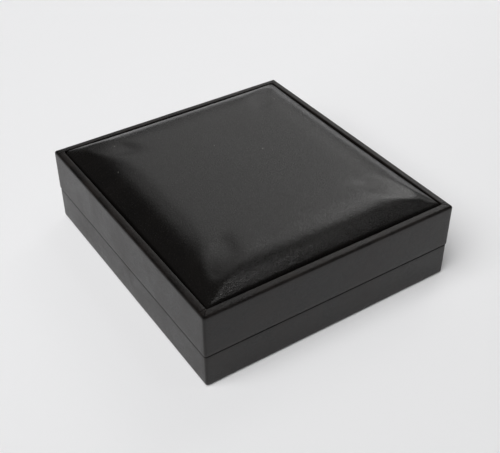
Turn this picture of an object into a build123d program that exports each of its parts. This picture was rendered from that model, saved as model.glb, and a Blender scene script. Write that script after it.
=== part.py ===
from build123d import *
import math
import os

os.makedirs("parts", exist_ok=True)

# A leather-covered jewellery case with a hinged, padded lid.
# Millimetres. Z is up, the front faces -Y, and the origin is under the middle of the case.

# Whole case, measured over the leather
case_width = 185.0
case_depth = 200.0
rim_height = 56.0
seam_height = 24.5
seam_gap = 0.3
base_inset = 0.3

# Wooden rails and the leather that covers them
leather = 0.8
rail_thickness = 7.0
corner_radius = 1.6
rim_edge_radius = 1.0
rim_inner_radius = 0.7
seam_edge_radius = 0.5
foot_edge_radius = 1.5

# Underside
underside_cloth = 0.5
cloth_margin = 3.0
turn_under = 12.0
infill_gap = 0.3
floor_thickness = 3.0
floor_rebate = 3.5
board_gap = 0.1

# Lid rim and the recess that holds the padded panel
lip_thickness = 3.8
recess_depth = 8.0
recess_corner = 1.0
panel_gap = 0.5
panel_corner = 1.8
panel_board = 2.5
panel_turn = 8.0

# Crown of the padded lid: an edge roll, a sloping bank, then an arc up to the flat top
panel_edge_drop = 1.5
panel_edge_roll = 2.0
panel_slope_angle = 26.0
panel_bank = 11.0
panel_run = 10.0
panel_top_angle = 1.5
panel_corner_growth_ratio = 1.0
roll_steps = 3
crown_steps = 5

# Hinge
opening_angle = 95.0
bevel_spare_angle = 1.0
bevel_depth = 1.2
hinge_end_margin = 40.5
hinge_length = 30.0
barrel_radius = 1.2
barrel_clearance = 0.25
pin_radius = 0.5
pin_clearance = 0.04
pin_chamfer = 0.15
knuckle_length = 12.0
knuckle_gap = 0.3
leaf_reach = 6.2
mortise_clearance = 0.1
spring_thickness = 0.3
spring_width = 10.0
spring_bar_width = 27.0
spring_bar_depth = 3.4
spring_gap = 0.03
spring_relief = 0.5

# Countersunk hinge screws
screw_pitch = 20.0
screw_radius = 0.75
screw_head_radius = 1.5
screw_length = 7.5
screw_point = 1.6
screw_clearance = 0.05
screw_slot_width = 0.35
screw_slot_depth = 0.3

# Lining strips inside base and lid
lining = 1.8
collar_rise = 4.0
collar_edge_radius = 0.6
lid_lining_gap = 0.7
lid_lining_board = 2.0

# Satin pad in the lid
satin_gap = 0.4
satin_edge = 1.6
satin_edge_roll = 1.5
satin_slope_angle = 24.0
satin_bank = 3.0
satin_run = 11.0
satin_top_angle = 2.0
satin_corner = 3.0
satin_corner_growth_ratio = 0.6

# Removable insert
insert_gap = 1.0
insert_board = 2.0
insert_pad = 9.5
insert_corner = 3.0
insert_edge_radius = 2.5

# Necklace form on the insert
form_front_width = 118.0
form_back_width = 66.0
form_length = 138.0
form_shift = -5.0
form_corner = 24.0
form_edge_roll = 2.5
form_slope_angle = 42.0
form_bank = 2.0
form_run = 14.0
form_top_angle = 3.0
form_corner_growth_ratio = 0.4

# Two straps that hold a chain, each on a wire staple, with a press stud
strap_pivot_x = 71.0
strap_y = 60.0
strap_length = 20.0
strap_width = 8.0
strap_thickness = 1.0
strap_tip_radius = 3.2
strap_lift = 0.4
loop_radius = 1.0
staple_radius = 0.45
staple_clearance = 0.06
staple_span = 11.0
staple_depth = 6.0
stud_from_tip = 4.0
stud_radius = 1.4
stud_height = 0.9
stud_edge_radius = 0.25
stud_flange_radius = 2.4
stud_flange = 0.25
cap_radius = 3.0
cap_wall = 0.5
cap_height = 0.8
stud_clearance = 0.12

# Ribbon that lifts the insert out
ribbon_width = 14.0
ribbon_thickness = 0.4
ribbon_tail = 10.0

# Heights
base_foot = underside_cloth
base_rail_foot = base_foot + leather
base_top = seam_height - seam_gap / 2
base_rail_top = base_top - leather
lid_foot = seam_height + seam_gap / 2
lid_rail_top = rim_height - leather
ledge = rim_height - recess_depth
floor_top = base_rail_foot + floor_thickness
collar_top = seam_height + collar_rise
panel_foot = ledge
panel_board_foot = panel_foot + leather
panel_board_top = panel_board_foot + panel_board
lining_board_foot = ledge - lid_lining_board
insert_top = floor_top + insert_board + insert_pad

# Half sizes in plan
lid_x = case_width / 2
lid_y = case_depth / 2
base_x = lid_x - base_inset
base_y = lid_y - base_inset
wall = leather + rail_thickness
base_in_x = base_x - wall
base_in_y = base_y - wall
rebate_x = base_in_x + floor_rebate
rebate_y = base_in_y + floor_rebate
lid_in_x = lid_x - wall
lid_in_y = lid_y - wall
rim_width = leather + lip_thickness + leather
recess_x = lid_x - rim_width
recess_y = lid_y - rim_width
panel_x = recess_x - panel_gap
panel_y = recess_y - panel_gap

# Hinge line, at the inner end of the bevels along the back
hinge_offset = lid_x - hinge_end_margin
hinge_y = lid_y - bevel_depth
bevel_angle = opening_angle / 2 + bevel_spare_angle
leaf_front_y = hinge_y - leaf_reach
leaf_back_y = hinge_y - barrel_radius - barrel_clearance
leaf_middle_y = (leaf_front_y + hinge_y) / 2
screw_y = (leaf_front_y + leaf_back_y) / 2


hands = [("left", -1), ("right", 1)]


def save(part, name):
    """Label a finished piece and write it."""
    part.label = name
    export_step(part, f"parts/{name}.step")


def block(half_x, half_y, foot, top, corner=0.0, mode=Mode.ADD):
    """An upright block about the case's centre line, in the part being built."""
    with BuildSketch(Plane.XY.offset(foot)) as plan:
        if corner > 0:
            RectangleRounded(2 * half_x, 2 * half_y, corner)
        else:
            Rectangle(2 * half_x, 2 * half_y)
    extrude(plan.sketch, amount=top - foot, mode=mode)


def bevel_cutter(level, rising, depth):
    """What lies beyond a slanting plane along the back edge, moved in by depth."""
    slope = math.radians(bevel_angle)
    sense = 1 if rising else -1
    along = Vector(0, math.cos(slope), sense * math.sin(slope)) * rim_height
    outward = Vector(0, math.sin(slope), -sense * math.cos(slope))
    middle = Vector(0, hinge_y, level) - outward * depth
    beyond = middle + outward * rim_height
    corners = [middle - along, middle + along, beyond + along, beyond - along]
    with BuildPart() as made:
        with BuildSketch(Plane.YZ):
            Polygon(*[(p.Y, p.Z) for p in corners], align=None)
        extrude(amount=case_width, both=True)
    return made.part


def body_block(half_x, half_y, foot, top, skin, foot_radius, top_radius, rising):
    """The outer form of the base or the lid, moved in by skin, with the back bevel cut."""
    cutter = bevel_cutter(foot if rising else top, rising, skin)
    with BuildPart() as made:
        block(half_x - skin, half_y - skin, foot + skin, top - skin, corner_radius - skin)
        if foot_radius > skin:
            fillet(made.faces().sort_by(Axis.Z)[0].edges(), foot_radius - skin)
        if top_radius > skin:
            fillet(made.faces().sort_by(Axis.Z)[-1].edges(), top_radius - skin)
        add(cutter, mode=Mode.SUBTRACT)
    return made.part


base_form = body_block(
    base_x, base_y, base_foot, base_top, 0, foot_edge_radius, seam_edge_radius, rising=False
)
base_core = body_block(
    base_x, base_y, base_foot, base_top, leather, foot_edge_radius, seam_edge_radius, rising=False
)
lid_form = body_block(
    lid_x, lid_y, lid_foot, rim_height, 0, seam_edge_radius, rim_edge_radius, rising=True
)
lid_core = body_block(
    lid_x, lid_y, lid_foot, rim_height, leather, seam_edge_radius, rim_edge_radius, rising=True
)


hinge_places = [(-hinge_offset, 0), (hinge_offset, 0)]


def screw_places(level):
    """Where the eight screws of one level of leaves stand."""
    steps = (-screw_pitch / 2, screw_pitch / 2)
    return [Location((x + step, screw_y, level)) for x, _ in hinge_places for step in steps]


def screw_form(spare, length):
    """A countersunk screw, head up at the origin, or its hole when spare is above zero."""
    with BuildPart() as made:
        with BuildSketch(Plane.XZ):
            Polygon(
                (0, 0),
                (screw_head_radius + spare, 0),
                (screw_radius + spare, -leather),
                (screw_radius + spare, screw_point - length),
                (0, -length - spare),
                align=None,
            )
        revolve(axis=Axis.Z)
    return made.part


mortise_length = hinge_length + 2 * mortise_clearance

# Free space round the hinge barrels
with BuildPart() as barrel_room:
    with Locations(*[(x, hinge_y, seam_height) for x, _ in hinge_places]):
        Cylinder(barrel_radius + barrel_clearance, mortise_length, rotation=(0, 90, 0))


def cut_leaf_mortises(foot):
    """Cut the mortises that the hinge leaves lie in, as deep as the leather."""
    with BuildSketch(Plane.XY.offset(foot)) as plan:
        with Locations(*[(x, leaf_middle_y) for x, _ in hinge_places]):
            Rectangle(mortise_length, leaf_reach + 2 * mortise_clearance)
    extrude(plan.sketch, amount=leather, mode=Mode.SUBTRACT)


# Leaf springs: a bar screwed under the base leaf, and a tongue that reaches under the barrel
spring_foot = base_rail_top - spring_thickness
bar_front_y = leaf_front_y + mortise_clearance
bar_back_y = bar_front_y + spring_bar_depth
spring_tip_y = hinge_y + barrel_radius / 2
tongue_start_y = bar_back_y + 2 * mortise_clearance


def spring_plan(spare):
    """The outline of one spring, in the sketch being drawn, widened all round by spare."""
    with Locations((0, (bar_front_y + bar_back_y) / 2)):
        Rectangle(spring_bar_width + 2 * spare, spring_bar_depth + 2 * spare)
    with Locations((0, (bar_front_y + spring_tip_y) / 2)):
        Rectangle(spring_width + 2 * spare, spring_tip_y - bar_front_y + 2 * spare)


# A shallow recess for each spring, deeper below the tongue's free end
with BuildPart() as spring_room:
    for x, _ in hinge_places:
        with BuildSketch(Plane((x, 0, spring_foot))):
            spring_plan(mortise_clearance)
        extrude(amount=spring_thickness + leather)
        with BuildSketch(Plane((x, 0, spring_foot - spring_relief))):
            with Locations((0, (tongue_start_y + spring_tip_y + mortise_clearance) / 2)):
                Rectangle(
                    spring_width + 2 * mortise_clearance,
                    spring_tip_y + mortise_clearance - tongue_start_y,
                )
        extrude(amount=spring_relief)


def keep_between_mitres(side, half_x, half_y, foot, top):
    """Keep the part of a frame that lies between two corner mitres."""
    inset = 2 * rail_thickness
    far = [(-half_x, -half_y), (half_x, -half_y), (half_x, half_y), (-half_x, half_y)]
    near = [
        (-half_x + inset, -half_y + inset),
        (half_x - inset, -half_y + inset),
        (half_x - inset, half_y - inset),
        (-half_x + inset, half_y - inset),
    ]
    first = {"front": 0, "right": 1, "back": 2, "left": 3}[side]
    second = (first + 1) % 4
    with BuildSketch(Plane.XY.offset(foot)) as wedge:
        Polygon(far[first], far[second], near[second], near[first], align=None)
    extrude(wedge.sketch, amount=top - foot, mode=Mode.INTERSECT)


screw_hole = screw_form(screw_clearance, screw_length + screw_clearance)
screw_hole_up = screw_hole.rotate(Axis.X, 180)

# Base frame of four mitred rails
with BuildPart() as base_frame:
    add(base_core)
    block(base_in_x, base_in_y, base_foot, base_top, mode=Mode.SUBTRACT)
    block(rebate_x, rebate_y, base_foot, floor_top, mode=Mode.SUBTRACT)
    add(barrel_room.part, mode=Mode.SUBTRACT)
    add(spring_room.part, mode=Mode.SUBTRACT)
    for place in screw_places(base_top):
        add(screw_hole.moved(place), mode=Mode.SUBTRACT)

for side in ("front", "right", "back", "left"):
    with BuildPart() as base_rail:
        add(base_frame.part)
        keep_between_mitres(side, base_x - leather, base_y - leather, base_foot, base_top)
    save(base_rail.part, f"base_{side}_rail")

# Base leather, turned over the top edge and under the foot
with BuildPart() as base_leather:
    add(base_form)
    add(base_core, mode=Mode.SUBTRACT)
    block(base_in_x, base_in_y, floor_top, rim_height, mode=Mode.SUBTRACT)
    block(base_x - turn_under, base_y - turn_under, 0, floor_top, mode=Mode.SUBTRACT)
    add(barrel_room.part, mode=Mode.SUBTRACT)
    cut_leaf_mortises(base_rail_top)
    add(spring_room.part, mode=Mode.SUBTRACT)
save(base_leather.part, "base_leather")

with BuildPart() as floor_board:
    block(rebate_x - board_gap, rebate_y - board_gap, base_rail_foot, floor_top)
save(floor_board.part, "floor_board")

with BuildPart() as underside_infill:
    infill_inset = turn_under + infill_gap
    block(base_x - infill_inset, base_y - infill_inset, base_foot, base_rail_foot)
save(underside_infill.part, "underside_infill_card")

with BuildPart() as cloth:
    block(base_x - cloth_margin, base_y - cloth_margin, 0, underside_cloth, corner_radius)
save(cloth.part, "underside_cloth")


def lining_strip(side, half_x, half_y, foot, top, rounded):
    """One card-backed lining strip against the inside of a rail."""
    long_way = side in ("front", "back")
    sign = 1 if side in ("back", "right") else -1
    length = 2 * half_x if long_way else 2 * (half_y - lining)
    centre = (0, sign * (half_y - lining / 2)) if long_way else (sign * (half_x - lining / 2), 0)
    size = (length, lining) if long_way else (lining, length)
    with BuildPart() as made:
        with BuildSketch(Plane.XY.offset(foot)):
            with Locations(centre):
                Rectangle(*size)
        extrude(amount=top - foot)
        if rounded:
            along = Axis.X if long_way else Axis.Y
            fillet(made.faces().sort_by(Axis.Z)[-1].edges().filter_by(along), collar_edge_radius)
    return made.part


for side in ("front", "right", "back", "left"):
    save(
        lining_strip(side, base_in_x, base_in_y, floor_top, collar_top, rounded=True),
        f"base_{side}_lining",
    )

# Lid frame of four mitred rails, with a thin lip round the recess
with BuildPart() as lid_frame:
    add(lid_core)
    block(lid_in_x, lid_in_y, lid_foot, rim_height, mode=Mode.SUBTRACT)
    block(recess_x + leather, recess_y + leather, ledge, rim_height, recess_corner, Mode.SUBTRACT)
    add(barrel_room.part, mode=Mode.SUBTRACT)
    for place in screw_places(lid_foot):
        add(screw_hole_up.moved(place), mode=Mode.SUBTRACT)

for side in ("front", "right", "back", "left"):
    with BuildPart() as lid_rail:
        add(lid_frame.part)
        keep_between_mitres(side, lid_x - leather, lid_y - leather, lid_foot, rim_height)
    save(lid_rail.part, f"lid_{side}_rail")

# Lid leather, over the rim and down the inside of the lip
with BuildPart() as lid_leather:
    add(lid_form)
    add(lid_core, mode=Mode.SUBTRACT)
    block(recess_x + leather, recess_y + leather, ledge, lid_rail_top, recess_corner)
    block(lid_in_x, lid_in_y, lid_foot, ledge, mode=Mode.SUBTRACT)
    block(recess_x, recess_y, ledge, rim_height, recess_corner, mode=Mode.SUBTRACT)
    inner_rim = lid_leather.faces().filter_by(Plane.XY).sort_by(Axis.Z)[-1].inner_wires()[0]
    fillet(inner_rim.edges(), rim_inner_radius)
    add(barrel_room.part, mode=Mode.SUBTRACT)
    cut_leaf_mortises(lid_foot)
save(lid_leather.part, "lid_leather")


def crown(edge, roll, slope_angle, bank, run, top_angle, skin):
    """Inset and rise of a crown's outline, moved in by skin: an edge roll, a bank, then an arc."""
    upright = math.pi / 2
    start = math.radians(slope_angle)
    end = math.radians(top_angle)
    radius = run / (math.sin(start) - math.sin(end))
    points = []
    for step in range(roll_steps + 1):
        tilt = upright + (start - upright) * step / roll_steps
        points.append((tilt, roll * (1 - math.sin(tilt)), edge + roll * math.cos(tilt)))
    shoulder_inset = points[-1][1] + bank
    shoulder_rise = points[-1][2] + bank * math.tan(start)
    for step in range(crown_steps + 1):
        tilt = start + (end - start) * step / crown_steps
        inset = shoulder_inset + radius * (math.sin(start) - math.sin(tilt))
        rise = shoulder_rise + radius * (math.cos(tilt) - math.cos(start))
        points.append((tilt, inset, rise))
    return [
        (inset + skin * math.sin(tilt), rise - skin * math.cos(tilt))
        for tilt, inset, rise in points
    ]


def crowned_block(half_x, half_y, foot, outline, corner, growth):
    """A cushion form in the part being built: its corners round off as the crown rises."""
    first = outline[0][0]
    sections = []
    for inset, height in [(first, foot)] + outline:
        with BuildSketch(Plane.XY.offset(height)) as section:
            RectangleRounded(
                2 * (half_x - inset),
                2 * (half_y - inset),
                corner + growth * (inset - first),
            )
        sections.append(section.sketch)
    loft(sections, ruled=True)


panel_edge = rim_height - panel_edge_drop


def panel_outline(skin):
    return crown(
        panel_edge,
        panel_edge_roll,
        panel_slope_angle,
        panel_bank,
        panel_run,
        panel_top_angle,
        skin,
    )


with BuildPart() as panel_outer:
    crowned_block(
        panel_x,
        panel_y,
        panel_foot,
        panel_outline(0),
        panel_corner,
        panel_corner_growth_ratio,
    )

with BuildPart() as panel_inner:
    crowned_block(
        panel_x,
        panel_y,
        panel_board_foot,
        panel_outline(leather),
        panel_corner - leather,
        panel_corner_growth_ratio,
    )

with BuildPart() as lid_panel_leather:
    add(panel_outer.part)
    add(panel_inner.part, mode=Mode.SUBTRACT)
    block(
        panel_x - panel_turn,
        panel_y - panel_turn,
        panel_foot,
        panel_board_foot,
        mode=Mode.SUBTRACT,
    )
save(lid_panel_leather.part, "lid_panel_leather")

with BuildPart() as lid_panel_board:
    add(panel_inner.part)
    block(panel_x, panel_y, panel_board_foot, panel_board_top, mode=Mode.INTERSECT)
save(lid_panel_board.part, "lid_panel_board")

with BuildPart() as lid_panel_foam:
    add(panel_inner.part)
    block(panel_x, panel_y, panel_foot, panel_board_top, mode=Mode.SUBTRACT)
save(lid_panel_foam.part, "lid_panel_foam")

# Lining inside the lid
with BuildPart() as lid_lining_card:
    block(lid_in_x, lid_in_y, lining_board_foot, ledge)
save(lid_lining_card.part, "lid_lining_board")

for side in ("front", "right", "back", "left"):
    save(
        lining_strip(
            side, lid_in_x, lid_in_y, collar_top + lid_lining_gap, lining_board_foot, rounded=False
        ),
        f"lid_{side}_lining",
    )

satin_x = lid_in_x - lining - satin_gap
satin_y = lid_in_y - lining - satin_gap
satin_outline = crown(
    satin_edge,
    satin_edge_roll,
    satin_slope_angle,
    satin_bank,
    satin_run,
    satin_top_angle,
    skin=0,
)
with BuildPart() as satin_pad:
    crowned_block(satin_x, satin_y, 0, satin_outline, satin_corner, satin_corner_growth_ratio)
satin = satin_pad.part.rotate(Axis.X, 180).moved(Location((0, 0, lining_board_foot)))
save(satin, "lid_satin_pad")

def hinge_barrels(offsets, length, radius, mode=Mode.ADD):
    """Round barrels on the hinge line, in the part being built."""
    with Locations(*[(x, hinge_y, seam_height) for x in offsets]):
        Cylinder(radius, length, rotation=(0, 90, 0), mode=mode)


# Hinges: two knuckles on each base leaf, one between them on the lid leaf
outer_knuckle = (hinge_length - knuckle_length) / 2 - knuckle_gap
outer_knuckle_x = (hinge_length - outer_knuckle) / 2
flat_drop = seam_height - base_rail_top - spring_gap
flat_width = 2 * (barrel_radius + barrel_clearance)
notch_depth = 2 * (hinge_y - leaf_back_y)

with BuildPart() as base_leaf:
    with BuildSketch(Plane.XY.offset(base_rail_top)):
        with Locations((0, leaf_middle_y)):
            Rectangle(hinge_length, leaf_reach)
    extrude(amount=leather)
    with BuildSketch(Plane.XY.offset(base_rail_top)):
        with Locations((0, hinge_y)):
            Rectangle(knuckle_length + 2 * knuckle_gap, notch_depth)
    extrude(amount=leather, mode=Mode.SUBTRACT)
    hinge_barrels([-outer_knuckle_x, outer_knuckle_x], outer_knuckle, barrel_radius)
    hinge_barrels([0], hinge_length, pin_radius + pin_clearance, mode=Mode.SUBTRACT)
    for step in (-1, 1):
        place = Location((step * screw_pitch / 2, screw_y, base_top))
        add(screw_hole.moved(place), mode=Mode.SUBTRACT)

# The lid's knuckle has flats below and behind, where the spring bears when shut and when open
with BuildPart() as lid_leaf:
    with BuildSketch(Plane.XY.offset(lid_foot)):
        with Locations((0, leaf_middle_y)):
            Rectangle(hinge_length, leaf_reach)
    extrude(amount=leather)
    with BuildSketch(Plane.XY.offset(lid_foot)):
        with Locations((-outer_knuckle_x, hinge_y), (outer_knuckle_x, hinge_y)):
            Rectangle(outer_knuckle + 2 * knuckle_gap, notch_depth)
    extrude(amount=leather, mode=Mode.SUBTRACT)
    hinge_barrels([0], knuckle_length, barrel_radius)
    with BuildSketch(Plane.XY.offset(seam_height - flat_drop)):
        with Locations((0, hinge_y)):
            Rectangle(knuckle_length, flat_width)
    extrude(amount=-barrel_radius, mode=Mode.SUBTRACT)
    with BuildSketch(Plane.XZ.offset(-hinge_y - flat_drop)):
        with Locations((0, seam_height)):
            Rectangle(knuckle_length, flat_width)
    extrude(amount=-barrel_radius, mode=Mode.SUBTRACT)
    hinge_barrels([0], hinge_length, pin_radius + pin_clearance, mode=Mode.SUBTRACT)
    for step in (-1, 1):
        place = Location((step * screw_pitch / 2, screw_y, lid_foot))
        add(screw_hole_up.moved(place), mode=Mode.SUBTRACT)

with BuildPart() as hinge_pin:
    hinge_barrels([0], hinge_length, pin_radius)
    chamfer(hinge_pin.edges().filter_by(GeomType.CIRCLE), pin_chamfer)

with BuildPart() as hinge_spring:
    with BuildSketch(Plane.XY.offset(spring_foot)):
        spring_plan(0)
    extrude(amount=spring_thickness)
    for step in (-1, 1):
        place = Location((step * screw_pitch / 2, screw_y, base_top))
        add(screw_hole.moved(place), mode=Mode.SUBTRACT)

for hand, sign in hands:
    place = Location((sign * hinge_offset, 0, 0))
    save(base_leaf.part.moved(place), f"hinge_{hand}_base_leaf")
    save(lid_leaf.part.moved(place), f"hinge_{hand}_lid_leaf")
    save(hinge_pin.part.moved(place), f"hinge_{hand}_pin")
    save(hinge_spring.part.moved(place), f"hinge_{hand}_spring")

with BuildPart() as screw:
    add(screw_form(0, screw_length))
    with BuildSketch(Plane.XY):
        Rectangle(2 * screw_head_radius, screw_slot_width)
    extrude(amount=-screw_slot_depth, mode=Mode.SUBTRACT)

screw_up = screw.part.rotate(Axis.X, 180)
base_screws = Compound(children=[screw.part.moved(place) for place in screw_places(base_top)])
lid_screws = Compound(children=[screw_up.moved(place) for place in screw_places(lid_foot)])
save(base_screws, "base_hinge_screws")
save(lid_screws, "lid_hinge_screws")

# Insert: board and suede-covered pad that lift out together
insert_x = base_in_x - lining - insert_gap
insert_y = base_in_y - lining - insert_gap

with BuildPart() as insert_card:
    block(insert_x, insert_y, floor_top, floor_top + insert_board, insert_corner)
save(insert_card.part, "insert_board")


def staple(spare):
    """A wire staple: a bar along Y over the pad, with two legs into it."""
    pivot_z = insert_top + strap_lift + loop_radius
    half = staple_span / 2
    bend = 2 * staple_radius
    with BuildPart() as made:
        with BuildLine():
            FilletPolyline(
                (0, -half, insert_top - staple_depth),
                (0, -half, pivot_z),
                (0, half, pivot_z),
                (0, half, insert_top - staple_depth),
                radius=bend,
            )
        with BuildSketch(Plane.XY.offset(insert_top - staple_depth)):
            with Locations((0, -half)):
                Circle(staple_radius + spare)
        sweep()
    return made.part


staple_wire = staple(0)
staple_hole = staple(staple_clearance)
stud_x = strap_pivot_x - strap_length + stud_from_tip

with BuildPart() as stud:
    with BuildSketch(Plane.XY.offset(insert_top)):
        Circle(stud_flange_radius)
    extrude(amount=stud_flange)
    with BuildSketch(Plane.XY.offset(insert_top)):
        Circle(stud_radius)
    extrude(amount=stud_height)
    fillet(stud.edges().filter_by(GeomType.CIRCLE).sort_by(Axis.Z)[-1], stud_edge_radius)

with BuildPart() as insert_cushion:
    block(insert_x, insert_y, floor_top + insert_board, insert_top, insert_corner)
    fillet(insert_cushion.faces().sort_by(Axis.Z)[-1].edges(), insert_edge_radius)
    for hand, sign in hands:
        place = Location((sign * strap_pivot_x, strap_y, 0))
        add(staple_hole.moved(place), mode=Mode.SUBTRACT)
save(insert_cushion.part, "insert_pad")


def form_plan(inset):
    """The form's outline, moved in by inset, with corners that round off as it rises."""
    with BuildSketch() as made:
        with BuildLine():
            Polyline(
                (-form_front_width / 2, -form_length / 2),
                (form_front_width / 2, -form_length / 2),
                (form_back_width / 2, form_length / 2),
                (-form_back_width / 2, form_length / 2),
                close=True,
            )
        make_face()
        if inset > 0:
            offset(amount=-inset, kind=Kind.INTERSECTION)
        fillet(made.vertices(), form_corner - form_corner_growth_ratio * inset)
    return made.sketch


# Necklace form: a raised cushion, wide at the front and narrow at the neck
form_outline = crown(
    0, form_edge_roll, form_slope_angle, form_bank, form_run, form_top_angle, skin=0
)
with BuildPart() as necklace_form:
    for inset, rise in form_outline:
        with BuildSketch(Plane.XY.offset(insert_top + rise)):
            with Locations((0, form_shift)):
                add(form_plan(inset))
    loft(ruled=True)
save(necklace_form.part, "necklace_form")

# Straps, with a rolled loop round the staple and a press-stud cap near the tip
strap_foot = insert_top + stud_flange + strap_lift
strap_axis_z = insert_top + strap_lift + loop_radius
with BuildPart() as strap:
    with BuildSketch(Plane.XY.offset(strap_foot)):
        with Locations((-strap_length / 2, 0)):
            Rectangle(strap_length, strap_width)
    extrude(amount=strap_thickness)
    fillet(strap.edges().filter_by(Axis.Z).sort_by(Axis.X)[:2], strap_tip_radius)
    with Locations((0, 0, strap_axis_z)):
        Cylinder(loop_radius, strap_width, rotation=(90, 0, 0))
        Cylinder(
            staple_radius + staple_clearance,
            strap_width,
            rotation=(90, 0, 0),
            mode=Mode.SUBTRACT,
        )
    with BuildSketch(Plane.XY.offset(strap_foot)):
        with Locations((stud_from_tip - strap_length, 0)):
            Circle(cap_radius - cap_wall)
    extrude(amount=strap_thickness, mode=Mode.SUBTRACT)

with BuildPart() as cap:
    with BuildSketch(Plane.XY.offset(strap_foot)):
        Circle(cap_radius - cap_wall)
    extrude(amount=strap_thickness)
    with BuildSketch(Plane.XY.offset(strap_foot + strap_thickness)):
        Circle(cap_radius)
    extrude(amount=cap_height)
    fillet(cap.edges().filter_by(GeomType.CIRCLE).sort_by(Axis.Z)[-1], cap_wall)
    with BuildSketch(Plane.XY.offset(strap_foot)):
        Circle(stud_radius + stud_clearance)
    extrude(amount=stud_height, mode=Mode.SUBTRACT)

for hand, sign in hands:
    turn = Rotation(0, 0, 0) if sign > 0 else Rotation(0, 0, 180)
    pivot = Location((sign * strap_pivot_x, strap_y, 0)) * turn
    stud_place = Location((sign * stud_x, strap_y, 0))
    save(strap.part.moved(pivot), f"chain_strap_{hand}")
    save(cap.part.moved(stud_place), f"strap_cap_{hand}")
    save(staple_wire.moved(Location((sign * strap_pivot_x, strap_y, 0))), f"strap_staple_{hand}")
    save(stud.part.moved(stud_place), f"strap_stud_{hand}")

# Ribbon: under the insert's front edge, up its front, and folded back over the top
ribbon_front = -insert_y - (insert_gap + ribbon_thickness) / 2
with BuildPart() as lift_ribbon:
    with BuildSketch(Plane.YZ):
        with BuildLine():
            Polyline(
                (-insert_y + ribbon_tail, insert_top),
                (-insert_y + ribbon_tail, insert_top + ribbon_thickness),
                (ribbon_front, insert_top + ribbon_thickness),
                (ribbon_front, floor_top),
                (ribbon_front + ribbon_thickness, floor_top),
                (ribbon_front + ribbon_thickness, insert_top),
                close=True,
            )
        make_face()
    extrude(amount=ribbon_width / 2, both=True)
save(lift_ribbon.part, "lift_ribbon")
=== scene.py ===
import math

import bmesh
import bpy
import numpy as np
from mathutils import Matrix, Vector, noise


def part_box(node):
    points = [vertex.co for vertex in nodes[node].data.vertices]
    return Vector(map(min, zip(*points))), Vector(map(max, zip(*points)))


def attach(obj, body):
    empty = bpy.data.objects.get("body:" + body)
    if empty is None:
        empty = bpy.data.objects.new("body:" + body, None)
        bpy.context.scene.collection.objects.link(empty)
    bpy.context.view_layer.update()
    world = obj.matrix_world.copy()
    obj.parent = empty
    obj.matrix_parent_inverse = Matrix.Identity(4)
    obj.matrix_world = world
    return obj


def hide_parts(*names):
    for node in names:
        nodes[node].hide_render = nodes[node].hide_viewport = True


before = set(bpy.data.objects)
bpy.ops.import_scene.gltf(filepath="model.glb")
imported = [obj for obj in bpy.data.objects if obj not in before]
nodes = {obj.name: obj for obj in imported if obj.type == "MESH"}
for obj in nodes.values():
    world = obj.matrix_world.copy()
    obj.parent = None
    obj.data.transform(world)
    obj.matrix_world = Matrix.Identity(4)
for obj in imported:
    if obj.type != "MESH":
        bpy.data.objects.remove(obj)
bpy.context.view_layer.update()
scene = bpy.context.scene
mm = 0.001


# node helpers

def connect(tree, node, inputs):
    # each input is a plain value or another node's socket
    for key, value in inputs.items():
        if isinstance(value, bpy.types.NodeSocket):
            tree.links.new(value, node.inputs[key])
        else:
            node.inputs[key].default_value = value


def newNode(tree, kind, settings=None, inputs=None):
    node = tree.nodes.new(kind if "Node" in kind else "ShaderNode" + kind)
    for key, value in (settings or {}).items():
        setattr(node, key, value)
    connect(tree, node, inputs or {})
    return node.outputs


def mathNode(tree, operation, *terms, clamp=False):
    settings = {"operation": operation, "use_clamp": clamp}
    return newNode(tree, "Math", settings, dict(enumerate(terms)))[0]


def ranged(tree, value, low, high, newLow=0.0, newHigh=1.0):
    labels = ("Value", "From Min", "From Max", "To Min", "To Max")
    numbers = (value, low, high, newLow, newHigh)
    return newNode(tree, "MapRange", None, dict(zip(labels, numbers)))["Result"]


def texture(tree, kind, vector, values, settings=None):
    return newNode(tree, "Tex" + kind, settings, {"Vector": vector, **values})


def stretched(tree, vector, scale, values):
    # noise drawn out along an axis
    mapped = newNode(tree, "Mapping", None, {"Vector": vector, "Scale": scale})
    return texture(tree, "Noise", mapped[0], {"Scale": 1.0, **values})["Fac"]


def blendColour(tree, factor, first, second):
    # each colour is a tuple or a socket
    pair = [(*colour, 1.0) if isinstance(colour, tuple) else colour for colour in (first, second)]
    return newNode(tree, "Mix", {"data_type": "RGBA"}, {0: factor, 6: pair[0], 7: pair[1]})[2]


def bumpNormal(tree, height, distance, under=None):
    inputs = {"Height": height, "Distance": distance}
    if under is not None:
        inputs["Normal"] = under
    return newNode(tree, "Bump", None, inputs)["Normal"]


def startMaterial(name, fixed):
    # fixed: the shader's own sockets that are even all over the surface
    material = bpy.data.materials.new(name)
    material.use_nodes = True
    tree = material.node_tree
    shader = tree.nodes["Principled BSDF"]
    connect(tree, shader, fixed)
    return material, tree, shader, newNode(tree, "TexCoord")["Object"]


def newPiece(name, vertices, faces, edges=()):
    mesh = bpy.data.meshes.new(name)
    mesh.from_pydata([tuple(v) for v in vertices], list(edges), faces)
    mesh.update()
    piece = bpy.data.objects.new(name, mesh)
    scene.collection.objects.link(piece)
    return piece


# camera, at the photograph's viewing angle

cameraSetup = {
    "place": (-260.7 * mm, -402.4 * mm, 389.1 * mm),
    "target": (12.5 * mm, 13.1 * mm, 0.0),
    "roll": -0.2,  # degrees
    "lens": 63.4,
    "sensor": 36.0,
    "nearest": 0.01,
    "farthest": 50,
}


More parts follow.
